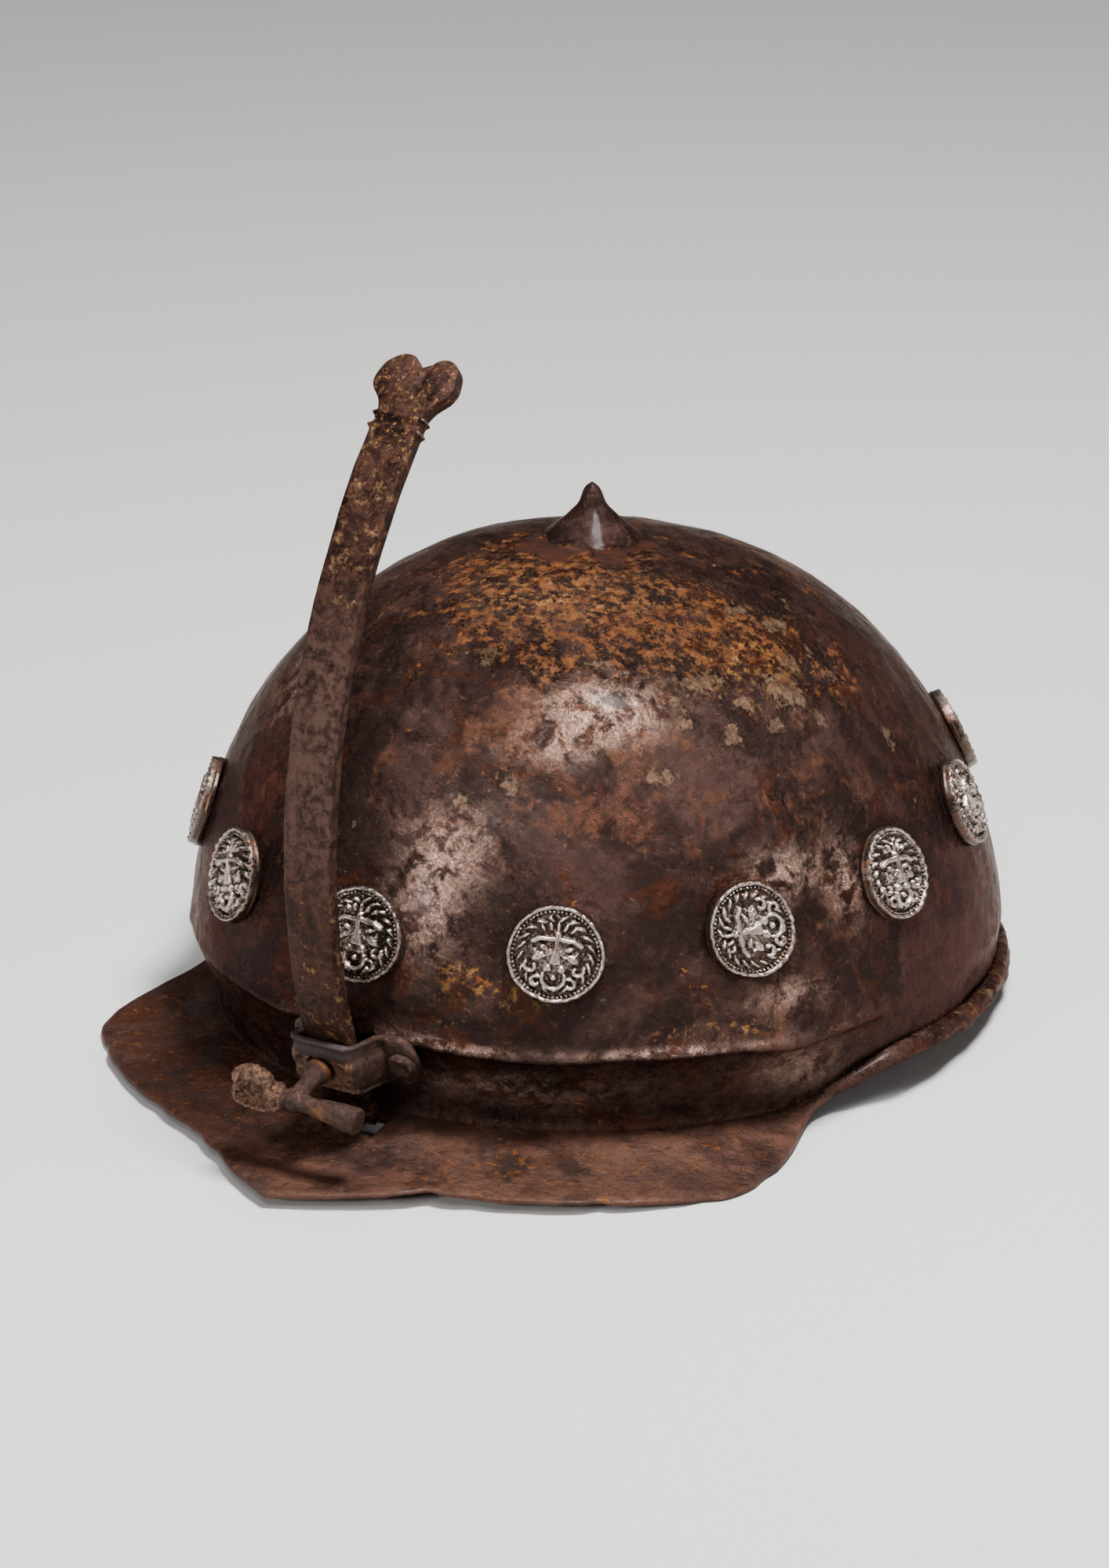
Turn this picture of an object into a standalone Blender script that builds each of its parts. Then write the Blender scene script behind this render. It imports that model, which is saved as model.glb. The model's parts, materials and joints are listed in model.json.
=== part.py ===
"""Hussar helmet: a forged skull with its peak, a sliding nasal bar in a staple, and mask medallions.

Metres, +Z up.  The helmet is modelled about its crown: Z runs up through the apex, the front is -Y and
the wearer's left is +X.  Height 0 is the crease where the peak leaves the skull.  At the end the whole
helmet tips back onto the corners of its peak and the roll at its nape, as it lies on a table.
"""
import math

import bmesh
import bpy
import numpy as np
from mathutils import Matrix, Vector

# Skull, measured outside at the ridge that runs over the brow
SKULL_LENGTH = 0.2340
SKULL_WIDTH = 0.2062
CROWN_RISE = 0.1022
CROWN_FLARE = 0.161
CROWN_TOP_POWER = 2.395
CROWN_SIDE_POWER = 2.284
CROWN_LEAN = 0.0130
WALL = 0.0020
BAND_HEIGHT = 0.0218
BAND_INSET = 0.0070
CLEARANCE = 0.0003

# Spike on the apex
SPIKE_HEIGHT = 0.0145
SPIKE_FOOT_RADIUS = 0.0130

# Peak over the brow, angles measured round the skull from the front
PEAK_REACH = 0.0317
PEAK_POINT = 0.0158
PEAK_POINT_DROP = 0.0015
PEAK_POINT_ANGLE = math.radians(15)
PEAK_DROP = 0.0058
PEAK_FULL_ANGLE = math.radians(45)
PEAK_END_ANGLE = math.radians(70)
PEAK_THICKNESS = 0.0020

# Rolled edge round the sides and nape
ROLL_DIAMETER = 0.0058
ROLL_HEIGHT = 0.0090
ROLL_STAND_OFF = 0.0006
ROLL_START_ANGLE = math.radians(60)
ROLL_FULL_ANGLE = math.radians(80)

# Nasal bar, curved round a centre inside the skull; it stands off the ridge where the staple holds it
BAR_RADIUS = 0.1476
BAR_STAND_OFF = 0.0110
BAR_WIDTH = 0.0130
BAR_THICKNESS = 0.0040
BAR_LENGTH = 0.1842
BAR_FOOT_LENGTH = 0.0230
COLLAR_LENGTH = 0.0055
COLLAR_WIDTH = 0.0148
FINIAL_HEIGHT = 0.0158
FINIAL_WIDTH = 0.0222
FINIAL_SWELL = 0.0010

# Staple that carries the bar, and its two rivets
STAPLE_ANGLE = math.radians(-23.4)
STAPLE_BELOW_RIDGE = 0.0033
STAPLE_HEIGHT = 0.0146
STAPLE_STRAP = 0.0022
STAPLE_WIDTH = 0.0190
STAPLE_CORNER = 0.0035
STAPLE_PLAY = 0.0012
STAPLE_FOOT = 0.0086
STAPLE_FOOT_DROP = 0.0010
STAPLE_FILLET = 0.8
STAPLE_FILLET_TURN = math.radians(20)
RIVET_PLACE = 0.50
RIVET_SHANK_RADIUS = 0.0014
RIVET_HEAD_RADIUS = 0.0037
RIVET_HEAD_HEIGHT = 0.0021
RIVET_CLENCH_RADIUS = 0.0028
RIVET_CLENCH_HEIGHT = 0.0010

# Slot in the peak under the staple
SLOT_SIDE_PLAY = 0.0014
SLOT_END_PLAY = 0.0014

# Thumb screw
SCREW_RADIUS = 0.0025
SCREW_COLLAR_RADIUS = 0.0042
SCREW_NECK_RADIUS = 0.0031
WING_DISTANCE = 0.0125
WING_REACH = 0.0180
WING_ROD_RADIUS = 0.0034
WING_LEAF_HEIGHT = 0.0120
WING_LEAF_THICKNESS = 0.0056
WING_TURN = math.radians(6)

# Shapes inside one piece: the screw's wings as shares of their reach, the finial's and the collar's swell
ROD_WAIST = 0.62
LEAF_CENTRE = 0.56
LEAF_HALF_LENGTH = 0.44
WEB_CENTRE = 0.12
WEB_HALF_LENGTH = 0.25
COLLAR_SWELL = 0.5
FINIAL_SWELL_END = 0.92

# Medallions
MEDALLION_COUNT = 13
MEDALLION_DIAMETER = 0.0240
MEDALLION_THICKNESS = 0.0016
MEDALLION_RELIEF = 0.0022
MEDALLION_FRONT_HEIGHT = 0.0462
MEDALLION_BACK_RISE = 0.0200
MEDALLION_TURNS = (0, -6, 95, -5, 40, -20, 85, 180, -70, 15, 100, -30, 20)

# Facets
COLUMNS = 72
MEDALLION_SIDES = 20
ROUND_SIDES = 16
WING_ROD_SIDES = 12
WING_LEAF_SIDES = 14
BAR_ROWS = 13
FLOOR_FLAT = 0.0004
SHARP_ANGLE = math.radians(35)

# Steps that measure a slope, try the skull's height under the bar, settle the helmet and walk a ring
SLOPE_STEP = 1e-4
DEPTH_STEP = 1e-3
DEPTH_SAMPLES = 24
SETTLE_ROUNDS = 30
RING_SAMPLES = 2880

HALF_LENGTH = SKULL_LENGTH / 2
HALF_WIDTH = SKULL_WIDTH / 2
CROWN_HEIGHT = BAND_HEIGHT + CROWN_RISE
RIDGE_FRONT_Y = CROWN_LEAN * (1 - BAND_HEIGHT / CROWN_HEIGHT) - HALF_LENGTH
BAR_CENTRE_Y = RIDGE_FRONT_Y - BAR_STAND_OFF + BAR_RADIUS * math.cos(STAPLE_ANGLE)
BAR_CENTRE_Z = BAND_HEIGHT - STAPLE_BELOW_RIDGE - BAR_RADIUS * math.sin(STAPLE_ANGLE)
BAR_FOOT_ANGLE = STAPLE_ANGLE - BAR_FOOT_LENGTH / BAR_RADIUS

# Spike profile from its tip: radius as a share of the foot's, height as a share of the spike's
SPIKE_PROFILE = (
    {"radius": 0.09, "height": 0.98},
    {"radius": 0.16, "height": 0.88},
    {"radius": 0.225, "height": 0.73},
    {"radius": 0.27, "height": 0.60},
    {"radius": 0.40, "height": 0.48},
    {"radius": 0.56, "height": 0.34},
    {"radius": 0.76, "height": 0.19},
)

# Stations down the crown as angles: 0 at the apex, 90 at the ridge
CROWN_STATIONS_OUTSIDE = (6, 12, 20, 28, 36, 44, 52, 60, 68, 76, 83, 90)
CROWN_STATIONS_INSIDE = (90, 76, 62, 48, 34, 20, 8)

# Band between ridge and crease: share of its height left, share of its inset reached,
# and the same two at the nape, where the wall runs straight down into the roll
BAND_ROWS = (
    {"height": 0.87, "inset": 0.22, "nape_height": 0.90, "nape_inset": 0.04},
    {"height": 0.45, "inset": 0.62, "nape_height": 0.50, "nape_inset": 0.12},
)

# Peak section from the crease out, round its edge and back under it to the inside of the wall: share of
# the reach, of the drop, of the peak's thickness and of the wall, and the direction round the roll that
# the same row takes at the nape
PEAK_ROWS = (
    {"reach": 0.00, "drop": 0.00, "depth": 0.0, "wall": 0.0, "roll": 135},
    {"reach": 0.10, "drop": 0.20, "depth": 0.0, "wall": 0.0, "roll": 90},
    {"reach": 0.55, "drop": 0.85, "depth": 0.0, "wall": 0.0, "roll": 45},
    {"reach": 1.00, "drop": 1.00, "depth": 0.0, "wall": 0.0, "roll": 0},
    {"reach": 1.00, "drop": 1.00, "depth": 1.0, "wall": 0.0, "roll": -45},
    {"reach": 0.55, "drop": 0.85, "depth": 1.0, "wall": 0.0, "roll": -90},
    {"reach": 0.10, "drop": 0.20, "depth": 1.0, "wall": 0.0, "roll": -135},
    {"reach": 0.00, "drop": 0.00, "depth": 0.7, "wall": 1.0, "roll": 180},
)

# Mask on a medallion: place and spread as shares of the radius, height as a share of the relief
MASK_FORMS = (
    {"x": 0.00, "y": 0.02, "wide": 0.34, "tall": 0.36, "height": 0.45},
    {"x": 0.00, "y": -0.02, "wide": 0.09, "tall": 0.22, "height": 0.55},
    {"x": -0.27, "y": 0.16, "wide": 0.12, "tall": 0.10, "height": 0.50},
    {"x": 0.27, "y": 0.16, "wide": 0.12, "tall": 0.10, "height": 0.50},
    {"x": -0.17, "y": -0.30, "wide": 0.11, "tall": 0.09, "height": 0.55},
    {"x": 0.17, "y": -0.30, "wide": 0.11, "tall": 0.09, "height": 0.55},
    {"x": 0.00, "y": -0.55, "wide": 0.18, "tall": 0.09, "height": 0.55},
    {"x": -0.45, "y": 0.45, "wide": 0.16, "tall": 0.16, "height": 0.40},
    {"x": 0.45, "y": 0.45, "wide": 0.16, "tall": 0.16, "height": 0.40},
    {"x": -0.55, "y": -0.20, "wide": 0.14, "tall": 0.18, "height": 0.40},
    {"x": 0.55, "y": -0.20, "wide": 0.14, "tall": 0.18, "height": 0.40},
)
MEDALLION_RINGS = (0.17, 0.34, 0.50, 0.66, 0.80, 0.90, 1.00)
RIM_SHARE = 0.11
RIM_HEIGHT = 0.75
RIM_EDGE_HEIGHT = 0.25

# Finial: rows up from the collar (share of its height, share of its extra width reached)
FINIAL_ROWS = (
    {"rise": 0.16, "spread": 0.22},
    {"rise": 0.42, "spread": 0.80},
    {"rise": 0.70, "spread": 1.00},
    {"rise": 1.00, "spread": 0.94},
)
# Across the bar: share of the half width, top outline of the finial there, swell of its face
BAR_COLUMNS = (
    {"across": -1.00, "top": 0.50, "swell": 0.0},
    {"across": -0.86, "top": 0.82, "swell": 0.7},
    {"across": -0.58, "top": 0.99, "swell": 1.0},
    {"across": -0.30, "top": 0.98, "swell": 0.9},
    {"across": -0.04, "top": 0.80, "swell": 0.2},
    {"across": 0.24, "top": 0.93, "swell": 0.9},
    {"across": 0.52, "top": 1.00, "swell": 1.0},
    {"across": 0.82, "top": 0.93, "swell": 0.7},
    {"across": 1.00, "top": 0.62, "swell": 0.0},
)
# Collar under the finial: share of its length, and whether the bar is at its collar's width there
COLLAR_ROWS = (
    {"along": 0.10, "wide": True},
    {"along": 0.30, "wide": True},
    {"along": 0.40, "wide": False},
    {"along": 0.60, "wide": False},
    {"along": 0.70, "wide": True},
    {"along": 0.90, "wide": True},
    {"along": 1.00, "wide": False},
)

# Staple feet: distance out from the side of the loop as a share of the foot, half height as a share
FOOT_ROWS = (
    {"out": 1.00, "height": 0.30},
    {"out": 0.93, "height": 0.62},
    {"out": 0.75, "height": 0.88},
    {"out": 0.45, "height": 1.00},
    {"out": 0.15, "height": 1.00},
)

# Rivet head from its middle out: share of its radius, share of its top's height over the foot
RIVET_HEAD_ROWS = (
    {"radius": 0.30, "height": 0.86},
    {"radius": 0.42, "height": 0.62},
    {"radius": 0.72, "height": 1.00},
    {"radius": 1.00, "height": 0.50},
)
RIVET_CLENCH_END = 0.8

# Screw from its outer end in: which of its radii, share of that, share of the wings' distance
SCREW_ROWS = (
    {"radius": SCREW_NECK_RADIUS, "share": 0.60, "out": 1.24},
    {"radius": SCREW_NECK_RADIUS, "share": 1.00, "out": 1.15},
    {"radius": SCREW_NECK_RADIUS, "share": 1.00, "out": 0.55},
    {"radius": SCREW_COLLAR_RADIUS, "share": 1.00, "out": 0.36},
    {"radius": SCREW_COLLAR_RADIUS, "share": 1.00, "out": 0.12},
)
SCREW_COLLAR_FOOT = 0.86
SCREW_TIP = 0.7
SCREW_TIP_LENGTH = 0.0006

# Rod-shaped wing from its outer end in: share of its radius, share of its reach
ROD_ROWS = (
    {"radius": 0.80, "reach": 1.00},
    {"radius": 1.00, "reach": 0.95},
    {"radius": 0.95, "reach": 0.45},
    {"radius": ROD_WAIST, "reach": 0.30},
    {"radius": ROD_WAIST, "reach": 0.00},
)

# Leaf-shaped wing through its thickness: level as a share of it, share of the outline there
LEAF_ROWS = (
    {"level": -0.50, "outline": 0.72},
    {"level": -0.25, "outline": 1.00},
    {"level": 0.25, "outline": 1.00},
    {"level": 0.50, "outline": 0.72},
)

FINISHES = {
    "steel": {"colour": (0.075, 0.050, 0.042, 1), "metallic": 0.85, "roughness": 0.38},
    "nasal_steel": {"colour": (0.110, 0.085, 0.070, 1), "metallic": 0.85, "roughness": 0.42},
    "fitting": {"colour": (0.130, 0.095, 0.070, 1), "metallic": 0.75, "roughness": 0.60},
    "white_metal": {"colour": (0.300, 0.275, 0.250, 1), "metallic": 0.90, "roughness": 0.40},
}


def clear_scene():
    """Remove every object that the new file starts with."""
    for item in list(bpy.data.objects):
        bpy.data.objects.remove(item, do_unlink=True)


def make_finish(name):
    """A Principled material with the finish's colour, metallic value and roughness."""
    values = FINISHES[name]
    material = bpy.data.materials.new(name)
    material.use_nodes = True
    shader = material.node_tree.nodes["Principled BSDF"]
    shader.inputs["Base Color"].default_value = values["colour"]
    shader.inputs["Metallic"].default_value = values["metallic"]
    shader.inputs["Roughness"].default_value = values["roughness"]
    return material


def make_piece(name, vertices, faces, material, parent, matrix=None):
    """One closed piece: its mesh in local coordinates, smooth but for its sharp edges."""
    mesh = bpy.data.meshes.new(name)
    mesh.from_pydata([tuple(map(float, v)) for v in vertices], [], faces)
    mesh.validate()
    work = bmesh.new()
    work.from_mesh(mesh)
    bmesh.ops.remove_doubles(work, verts=work.verts, dist=1e-6)
    bmesh.ops.triangulate(work, faces=work.faces)
    bmesh.ops.recalc_face_normals(work, faces=work.faces)
    work.to_mesh(mesh)
    work.free()
    mesh.shade_smooth()
    mesh.set_sharp_from_angle(angle=SHARP_ANGLE)
    mesh.materials.append(material)
    piece = bpy.data.objects.new(name, mesh)
    bpy.context.scene.collection.objects.link(piece)
    piece.parent = parent
    if matrix is not None:
        piece.matrix_local = matrix
    return piece


def combine(piece, operation, name, vertices, faces, matrix):
    """Cut a closed tool out of a piece, or join it to the piece, with an exact Boolean."""
    mesh = bpy.data.meshes.new(name)
    mesh.from_pydata([tuple(map(float, v)) for v in vertices], [], faces)
    work = bmesh.new()
    work.from_mesh(mesh)
    bmesh.ops.recalc_face_normals(work, faces=work.faces)
    work.to_mesh(mesh)
    work.free()
    tool = bpy.data.objects.new(name, mesh)
    bpy.context.scene.collection.objects.link(tool)
    tool.parent = piece.parent
    tool.matrix_local = matrix
    tool.hide_render = True
    tool.display_type = "WIRE"
    modifier = piece.modifiers.new(name, "BOOLEAN")
    modifier.operation = operation
    modifier.solver = "EXACT"
    modifier.object = tool


def ring_faces(rows, columns, closed_top=True, closed_end=True):
    """Quads between rings of equal length, with a pole before the first and after the last ring."""
    faces = []
    for row in range(rows - 1):
        for column in range(columns):
            after = (column + 1) % columns
            low, high = row * columns, (row + 1) * columns
            faces.append((low + column, low + after, high + after, high + column))
    pole = rows * columns
    if closed_top:
        faces += [(pole, (c + 1) % columns, c) for c in range(columns)]
        pole += 1
    if closed_end:
        last = (rows - 1) * columns
        faces += [(pole, last + c, last + (c + 1) % columns) for c in range(columns)]
    return faces


def turned(profile, sides):
    """A solid turned about Z from (radius, height) points; its two ends close on the axis."""
    angles = np.arange(sides) * 2 * math.pi / sides
    vertices = [(r * math.cos(a), r * math.sin(a), z) for r, z in profile for a in angles]
    vertices += [(0, 0, profile[0][1]), (0, 0, profile[-1][1])]
    return vertices, ring_faces(len(profile), sides)


def box(half_x, half_y, half_z):
    """A box about the origin."""
    corners = [(x, y, z) for z in (-half_z, half_z) for y in (-half_y, half_y) for x in (-half_x, half_x)]
    faces = [(0, 2, 3, 1), (4, 5, 7, 6), (0, 1, 5, 4), (2, 6, 7, 3), (0, 4, 6, 2), (1, 3, 7, 5)]
    return corners, faces


def centre_y(z):
    """The skull's sections move forward as they rise, so that the crown leans over the brow."""
    return CROWN_LEAN * (1 - z / CROWN_HEIGHT)


def crown_share(z):
    """Share of the ridge's radius that the crown has at a height above the ridge."""
    t = np.clip((z - BAND_HEIGHT) / CROWN_RISE, 0, 1)
    rounding = (1 - t ** CROWN_TOP_POWER) ** (1 / CROWN_SIDE_POWER)
    return rounding * (1 + CROWN_FLARE * (1 - t)) / (1 + CROWN_FLARE)


def crown_point(angle, z, offset=0.0):
    """A point on the crown's oval section at an angle from the front, pushed out by an offset."""
    share = crown_share(z)
    x = (HALF_WIDTH * share + offset) * math.sin(angle)
    y = centre_y(z) - (HALF_LENGTH * share + offset) * math.cos(angle)
    return Vector((x, y, z))


def crown_frame(angle, z):
    """The crown's surface there: a point, the directions round it and up it, and the way out."""
    point = crown_point(angle, z)
    round_ = crown_point(angle + SLOPE_STEP, z) - crown_point(angle - SLOPE_STEP, z)
    up = crown_point(angle, z + SLOPE_STEP) - crown_point(angle, z - SLOPE_STEP)
    out = round_.cross(up).normalized()
    return point, round_ / (2 * SLOPE_STEP), up / (2 * SLOPE_STEP), out


def smooth_step(value, start, end):
    """0 before start, 1 after end, and an even S between them."""
    t = min(max((value - start) / (end - start), 0.0), 1.0)
    return t * t * (3 - 2 * t)


def peak_size(angle):
    """How far the peak reaches and drops: full over the brow, pointed in front, rounded off at its ends."""
    point = max(0.0, 1 - angle / PEAK_POINT_ANGLE)
    t = min(max((angle - PEAK_FULL_ANGLE) / (PEAK_END_ANGLE - PEAK_FULL_ANGLE), 0.0), 1.0)
    full = 0.5 + 0.5 * math.cos(math.pi * t)
    return (PEAK_REACH + PEAK_POINT * point) * full, (PEAK_DROP + PEAK_POINT_DROP * point) * full


def lower_rows(angle):
    """(offset from the ridge, height) down the band, round the peak or the roll, and back up inside."""
    nape = smooth_step(angle, ROLL_START_ANGLE, ROLL_FULL_ANGLE)
    reach, drop = peak_size(angle)
    roll_radius = ROLL_DIAMETER / 2
    nape_fall = BAND_HEIGHT - ROLL_HEIGHT
    band = []
    for row in BAND_ROWS:
        front = (-BAND_INSET * row["inset"], BAND_HEIGHT * row["height"])
        back = (-BAND_INSET * row["nape_inset"], ROLL_HEIGHT + nape_fall * row["nape_height"])
        band.append([f + (b - f) * nape for f, b in zip(front, back)])
    lower = []
    for row in PEAK_ROWS:
        front = (
            -BAND_INSET + reach * row["reach"] - WALL * row["wall"],
            -drop * row["drop"] - PEAK_THICKNESS * row["depth"],
        )
        turn = math.radians(row["roll"])
        back = (
            ROLL_STAND_OFF - WALL / 2 + roll_radius * math.cos(turn),
            ROLL_HEIGHT + roll_radius * math.sin(turn),
        )
        lower.append([f + (b - f) * nape for f, b in zip(front, back)])
    inside = [[offset - WALL, z] for offset, z in reversed(band)]
    return band + lower + inside


def skull_vertices():
    """Rings down the outside of the skull, round its lower edge and up the inside."""
    angles = [2 * math.pi * c / COLUMNS for c in range(COLUMNS)]
    rows = []
    for row in SPIKE_PROFILE:
        z = CROWN_HEIGHT + SPIKE_HEIGHT * row["height"]
        r = SPIKE_FOOT_RADIUS * row["radius"]
        rows.append([(r * math.sin(a), centre_y(z) - r * math.cos(a), z) for a in angles])
    for station in CROWN_STATIONS_OUTSIDE:
        z = BAND_HEIGHT + CROWN_RISE * math.cos(math.radians(station)) ** (2 / CROWN_TOP_POWER)
        rows.append([tuple(crown_point(a, z)) for a in angles])
    side = [lower_rows(min(a, 2 * math.pi - a)) for a in angles]
    for index in range(len(side[0])):
        ring = []
        for a, section in zip(angles, side):
            offset, z = section[index]
            x = (HALF_WIDTH + offset) * math.sin(a)
            y = centre_y(z) - (HALF_LENGTH + offset) * math.cos(a)
            ring.append((x, y, z))
        rows.append(ring)
    for station in CROWN_STATIONS_INSIDE:
        z = BAND_HEIGHT + CROWN_RISE * math.cos(math.radians(station)) ** (2 / CROWN_TOP_POWER)
        ring = []
        for a in angles:
            point, _, _, out = crown_frame(a, min(z, CROWN_HEIGHT - 2 * SLOPE_STEP))
            ring.append(tuple(point - out * WALL))
        rows.append(ring)
    vertices = [v for ring in rows for v in ring]
    vertices.append((0, centre_y(CROWN_HEIGHT + SPIKE_HEIGHT), CROWN_HEIGHT + SPIKE_HEIGHT))
    vertices.append((0, centre_y(CROWN_HEIGHT), CROWN_HEIGHT - WALL))
    return np.array(vertices), len(rows)


def settle(vertices):
    """The tilt at which the lowest point of the front and of the back touch one floor, and its height."""
    tilt = 0.0
    front = vertices[:, 1] < 0
    for _ in range(SETTLE_ROUNDS):
        y = vertices[:, 1] * math.cos(tilt) - vertices[:, 2] * math.sin(tilt)
        z = vertices[:, 1] * math.sin(tilt) + vertices[:, 2] * math.cos(tilt)
        low_front = np.argmin(np.where(front, z, 1.0))
        low_back = np.argmin(np.where(front, 1.0, z))
        tilt += math.atan2(z[low_front] - z[low_back], y[low_back] - y[low_front])
    z = vertices[:, 1] * math.sin(tilt) + vertices[:, 2] * math.cos(tilt)
    return tilt, z.min()


def worn_flat(vertices, tilt, floor):
    """Bring what lies within the flat's depth of the floor down onto it, where the edges have worn."""
    height = vertices[:, 1] * math.sin(tilt) + vertices[:, 2] * math.cos(tilt) - floor
    low = height < FLOOR_FLAT
    result = vertices.copy()
    result[low, 1] -= height[low] * math.sin(tilt)
    result[low, 2] -= height[low] * math.cos(tilt)
    return result


def bar_point(angle, radius):
    """A point of the bar's plane at an angle above its centre and a radius from it: (y, z)."""
    return BAR_CENTRE_Y - radius * math.cos(angle), BAR_CENTRE_Z + radius * math.sin(angle)


def bar_depth_at(height, radius):
    """How far back (y) the bar's plane has its circle of that radius at a height under the centre."""
    return BAR_CENTRE_Y - math.sqrt(radius ** 2 - (BAR_CENTRE_Z - height) ** 2)


def staple_matrix():
    """Place of the staple: X across, Y up the bar, Z out of the bar's face, at the bar's outer face."""
    y, z = bar_point(STAPLE_ANGLE, BAR_RADIUS)
    out = Vector((0, -math.cos(STAPLE_ANGLE), math.sin(STAPLE_ANGLE)))
    up = Vector((0, math.sin(STAPLE_ANGLE), math.cos(STAPLE_ANGLE)))
    across = up.cross(out)
    matrix = Matrix((across, up, out)).transposed().to_4x4()
    matrix.translation = Vector((0, y, z))
    return matrix


def skull_depth(x):
    """How far under the bar's outer face the skull's top near the ridge lies, at a distance across."""
    place = staple_matrix().inverted()
    best = -BAR_RADIUS
    low, high = BAND_HEIGHT * 0.3, BAND_HEIGHT * 1.7
    for step in range(DEPTH_SAMPLES + 1):
        z = low + (high - low) * step / DEPTH_SAMPLES
        if z >= BAND_HEIGHT:
            share = crown_share(z)
            a, b = HALF_LENGTH * share, HALF_WIDTH * share
        else:
            inset = BAND_INSET * (1 - z / BAND_HEIGHT)
            a, b = HALF_LENGTH - inset, HALF_WIDTH - inset
        y = centre_y(z) - a * math.sqrt(1 - (x / b) ** 2)
        best = max(best, (place @ Vector((x, y, z))).z)
    return best


def skull_lean(x):
    """How much the skull's highest line under the bar leans there, as an angle."""
    return math.atan((skull_depth(x + DEPTH_STEP) - skull_depth(x - DEPTH_STEP)) / (2 * DEPTH_STEP))


def staple_path():
    """Stations along the right half of the strap: (x, depth, outward direction, half height)."""
    half = STAPLE_HEIGHT / 2
    side = STAPLE_WIDTH / 2 - STAPLE_STRAP / 2
    front = STAPLE_PLAY + STAPLE_STRAP / 2
    foot = skull_depth(side) + CLEARANCE + STAPLE_STRAP / 2
    bend = STAPLE_CORNER - STAPLE_STRAP / 2
    path = []
    for row in FOOT_ROWS:
        x = side + STAPLE_STRAP / 2 + (STAPLE_FOOT - STAPLE_STRAP / 2) * row["out"]
        lean = skull_lean(x)
        depth = skull_depth(x) + (CLEARANCE + STAPLE_STRAP / 2) / math.cos(lean)
        path.append((x, depth, math.pi / 2 + lean, half * row["height"]))
    path.append((side, foot + STAPLE_STRAP * STAPLE_FILLET, STAPLE_FILLET_TURN, half))
    path.append((side, front - bend, 0.0, half))
    for third in (1, 2):
        turn = third * math.pi / 6
        x = side - bend + bend * math.cos(turn)
        path.append((x, front - bend + bend * math.sin(turn), turn, half))
    path.append((side - bend, front, math.pi / 2, half))
    return path


def level_shift(depth):
    """How far down the bar a station lies, so that the sides of the loop run back to the skull and down."""
    front = STAPLE_PLAY + STAPLE_STRAP / 2
    share = (front - depth) / (front - skull_depth(STAPLE_WIDTH / 2))
    return (depth - front) * math.tan(-STAPLE_ANGLE) - STAPLE_FOOT_DROP * share


def staple_vertices():
    """The strap's four edges at each station from foot to foot."""
    right = staple_path()
    left = [(-x, depth, math.pi - turn, height) for x, depth, turn, height in right]
    stations = right + left[::-1]
    vertices = []
    for x, depth, turn, height in stations:
        dx, dz = math.cos(turn) * STAPLE_STRAP / 2, math.sin(turn) * STAPLE_STRAP / 2
        level = level_shift(depth)
        vertices += [
            (x + dx, level - height, depth + dz),
            (x + dx, level + height, depth + dz),
            (x - dx, level + height, depth - dz),
            (x - dx, level - height, depth - dz),
        ]
    faces = ring_faces(len(stations), 4, False, False)
    last = 4 * (len(stations) - 1)
    faces += [(0, 1, 2, 3), (last + 3, last + 2, last + 1, last)]
    return vertices, faces


def rivet_matrix(side):
    """Place of a rivet: its Z is the way out of the foot, its origin where it meets the foot's face."""
    x = side * (STAPLE_WIDTH / 2 + STAPLE_FOOT * RIVET_PLACE)
    lean = skull_lean(x)
    depth = skull_depth(x) + (CLEARANCE + STAPLE_STRAP) / math.cos(lean)
    foot = Matrix.Translation((x, level_shift(depth), depth))
    return staple_matrix() @ foot @ Matrix.Rotation(-lean, 4, "Y")


def rivet_profile():
    """A domed head with a ring, a shank through foot and skull, and the clenched end inside."""
    top = CLEARANCE + RIVET_HEAD_HEIGHT
    valley = (RIVET_CLENCH_RADIUS + RIVET_SHANK_RADIUS) * BAND_INSET / BAND_HEIGHT
    inside = -(STAPLE_STRAP + WALL + valley + 2 * CLEARANCE)
    head = [(RIVET_HEAD_RADIUS * row["radius"], top * row["height"]) for row in RIVET_HEAD_ROWS]
    return head + [
        (RIVET_HEAD_RADIUS, CLEARANCE),
        (RIVET_SHANK_RADIUS, CLEARANCE),
        (RIVET_SHANK_RADIUS, inside),
        (RIVET_CLENCH_RADIUS, inside),
        (RIVET_CLENCH_RADIUS * RIVET_CLENCH_END, inside - RIVET_CLENCH_HEIGHT),
    ]


def bar_rows():
    """Rows up the bar: (distance along the arc, half width, share of the finial's height or None)."""
    foot = BAR_FOOT_ANGLE * BAR_RADIUS
    collar = foot + BAR_LENGTH
    half = BAR_WIDTH / 2
    rows = [(foot + (collar - foot) * i / (BAR_ROWS - 1), half, None) for i in range(BAR_ROWS)]
    for row in COLLAR_ROWS:
        rows.append((collar + COLLAR_LENGTH * row["along"], COLLAR_WIDTH / 2 if row["wide"] else half, None))
    for row in FINIAL_ROWS:
        spread = half + (FINIAL_WIDTH / 2 - half) * row["spread"]
        rows.append((collar + COLLAR_LENGTH, spread, row["rise"]))
    return rows


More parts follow.
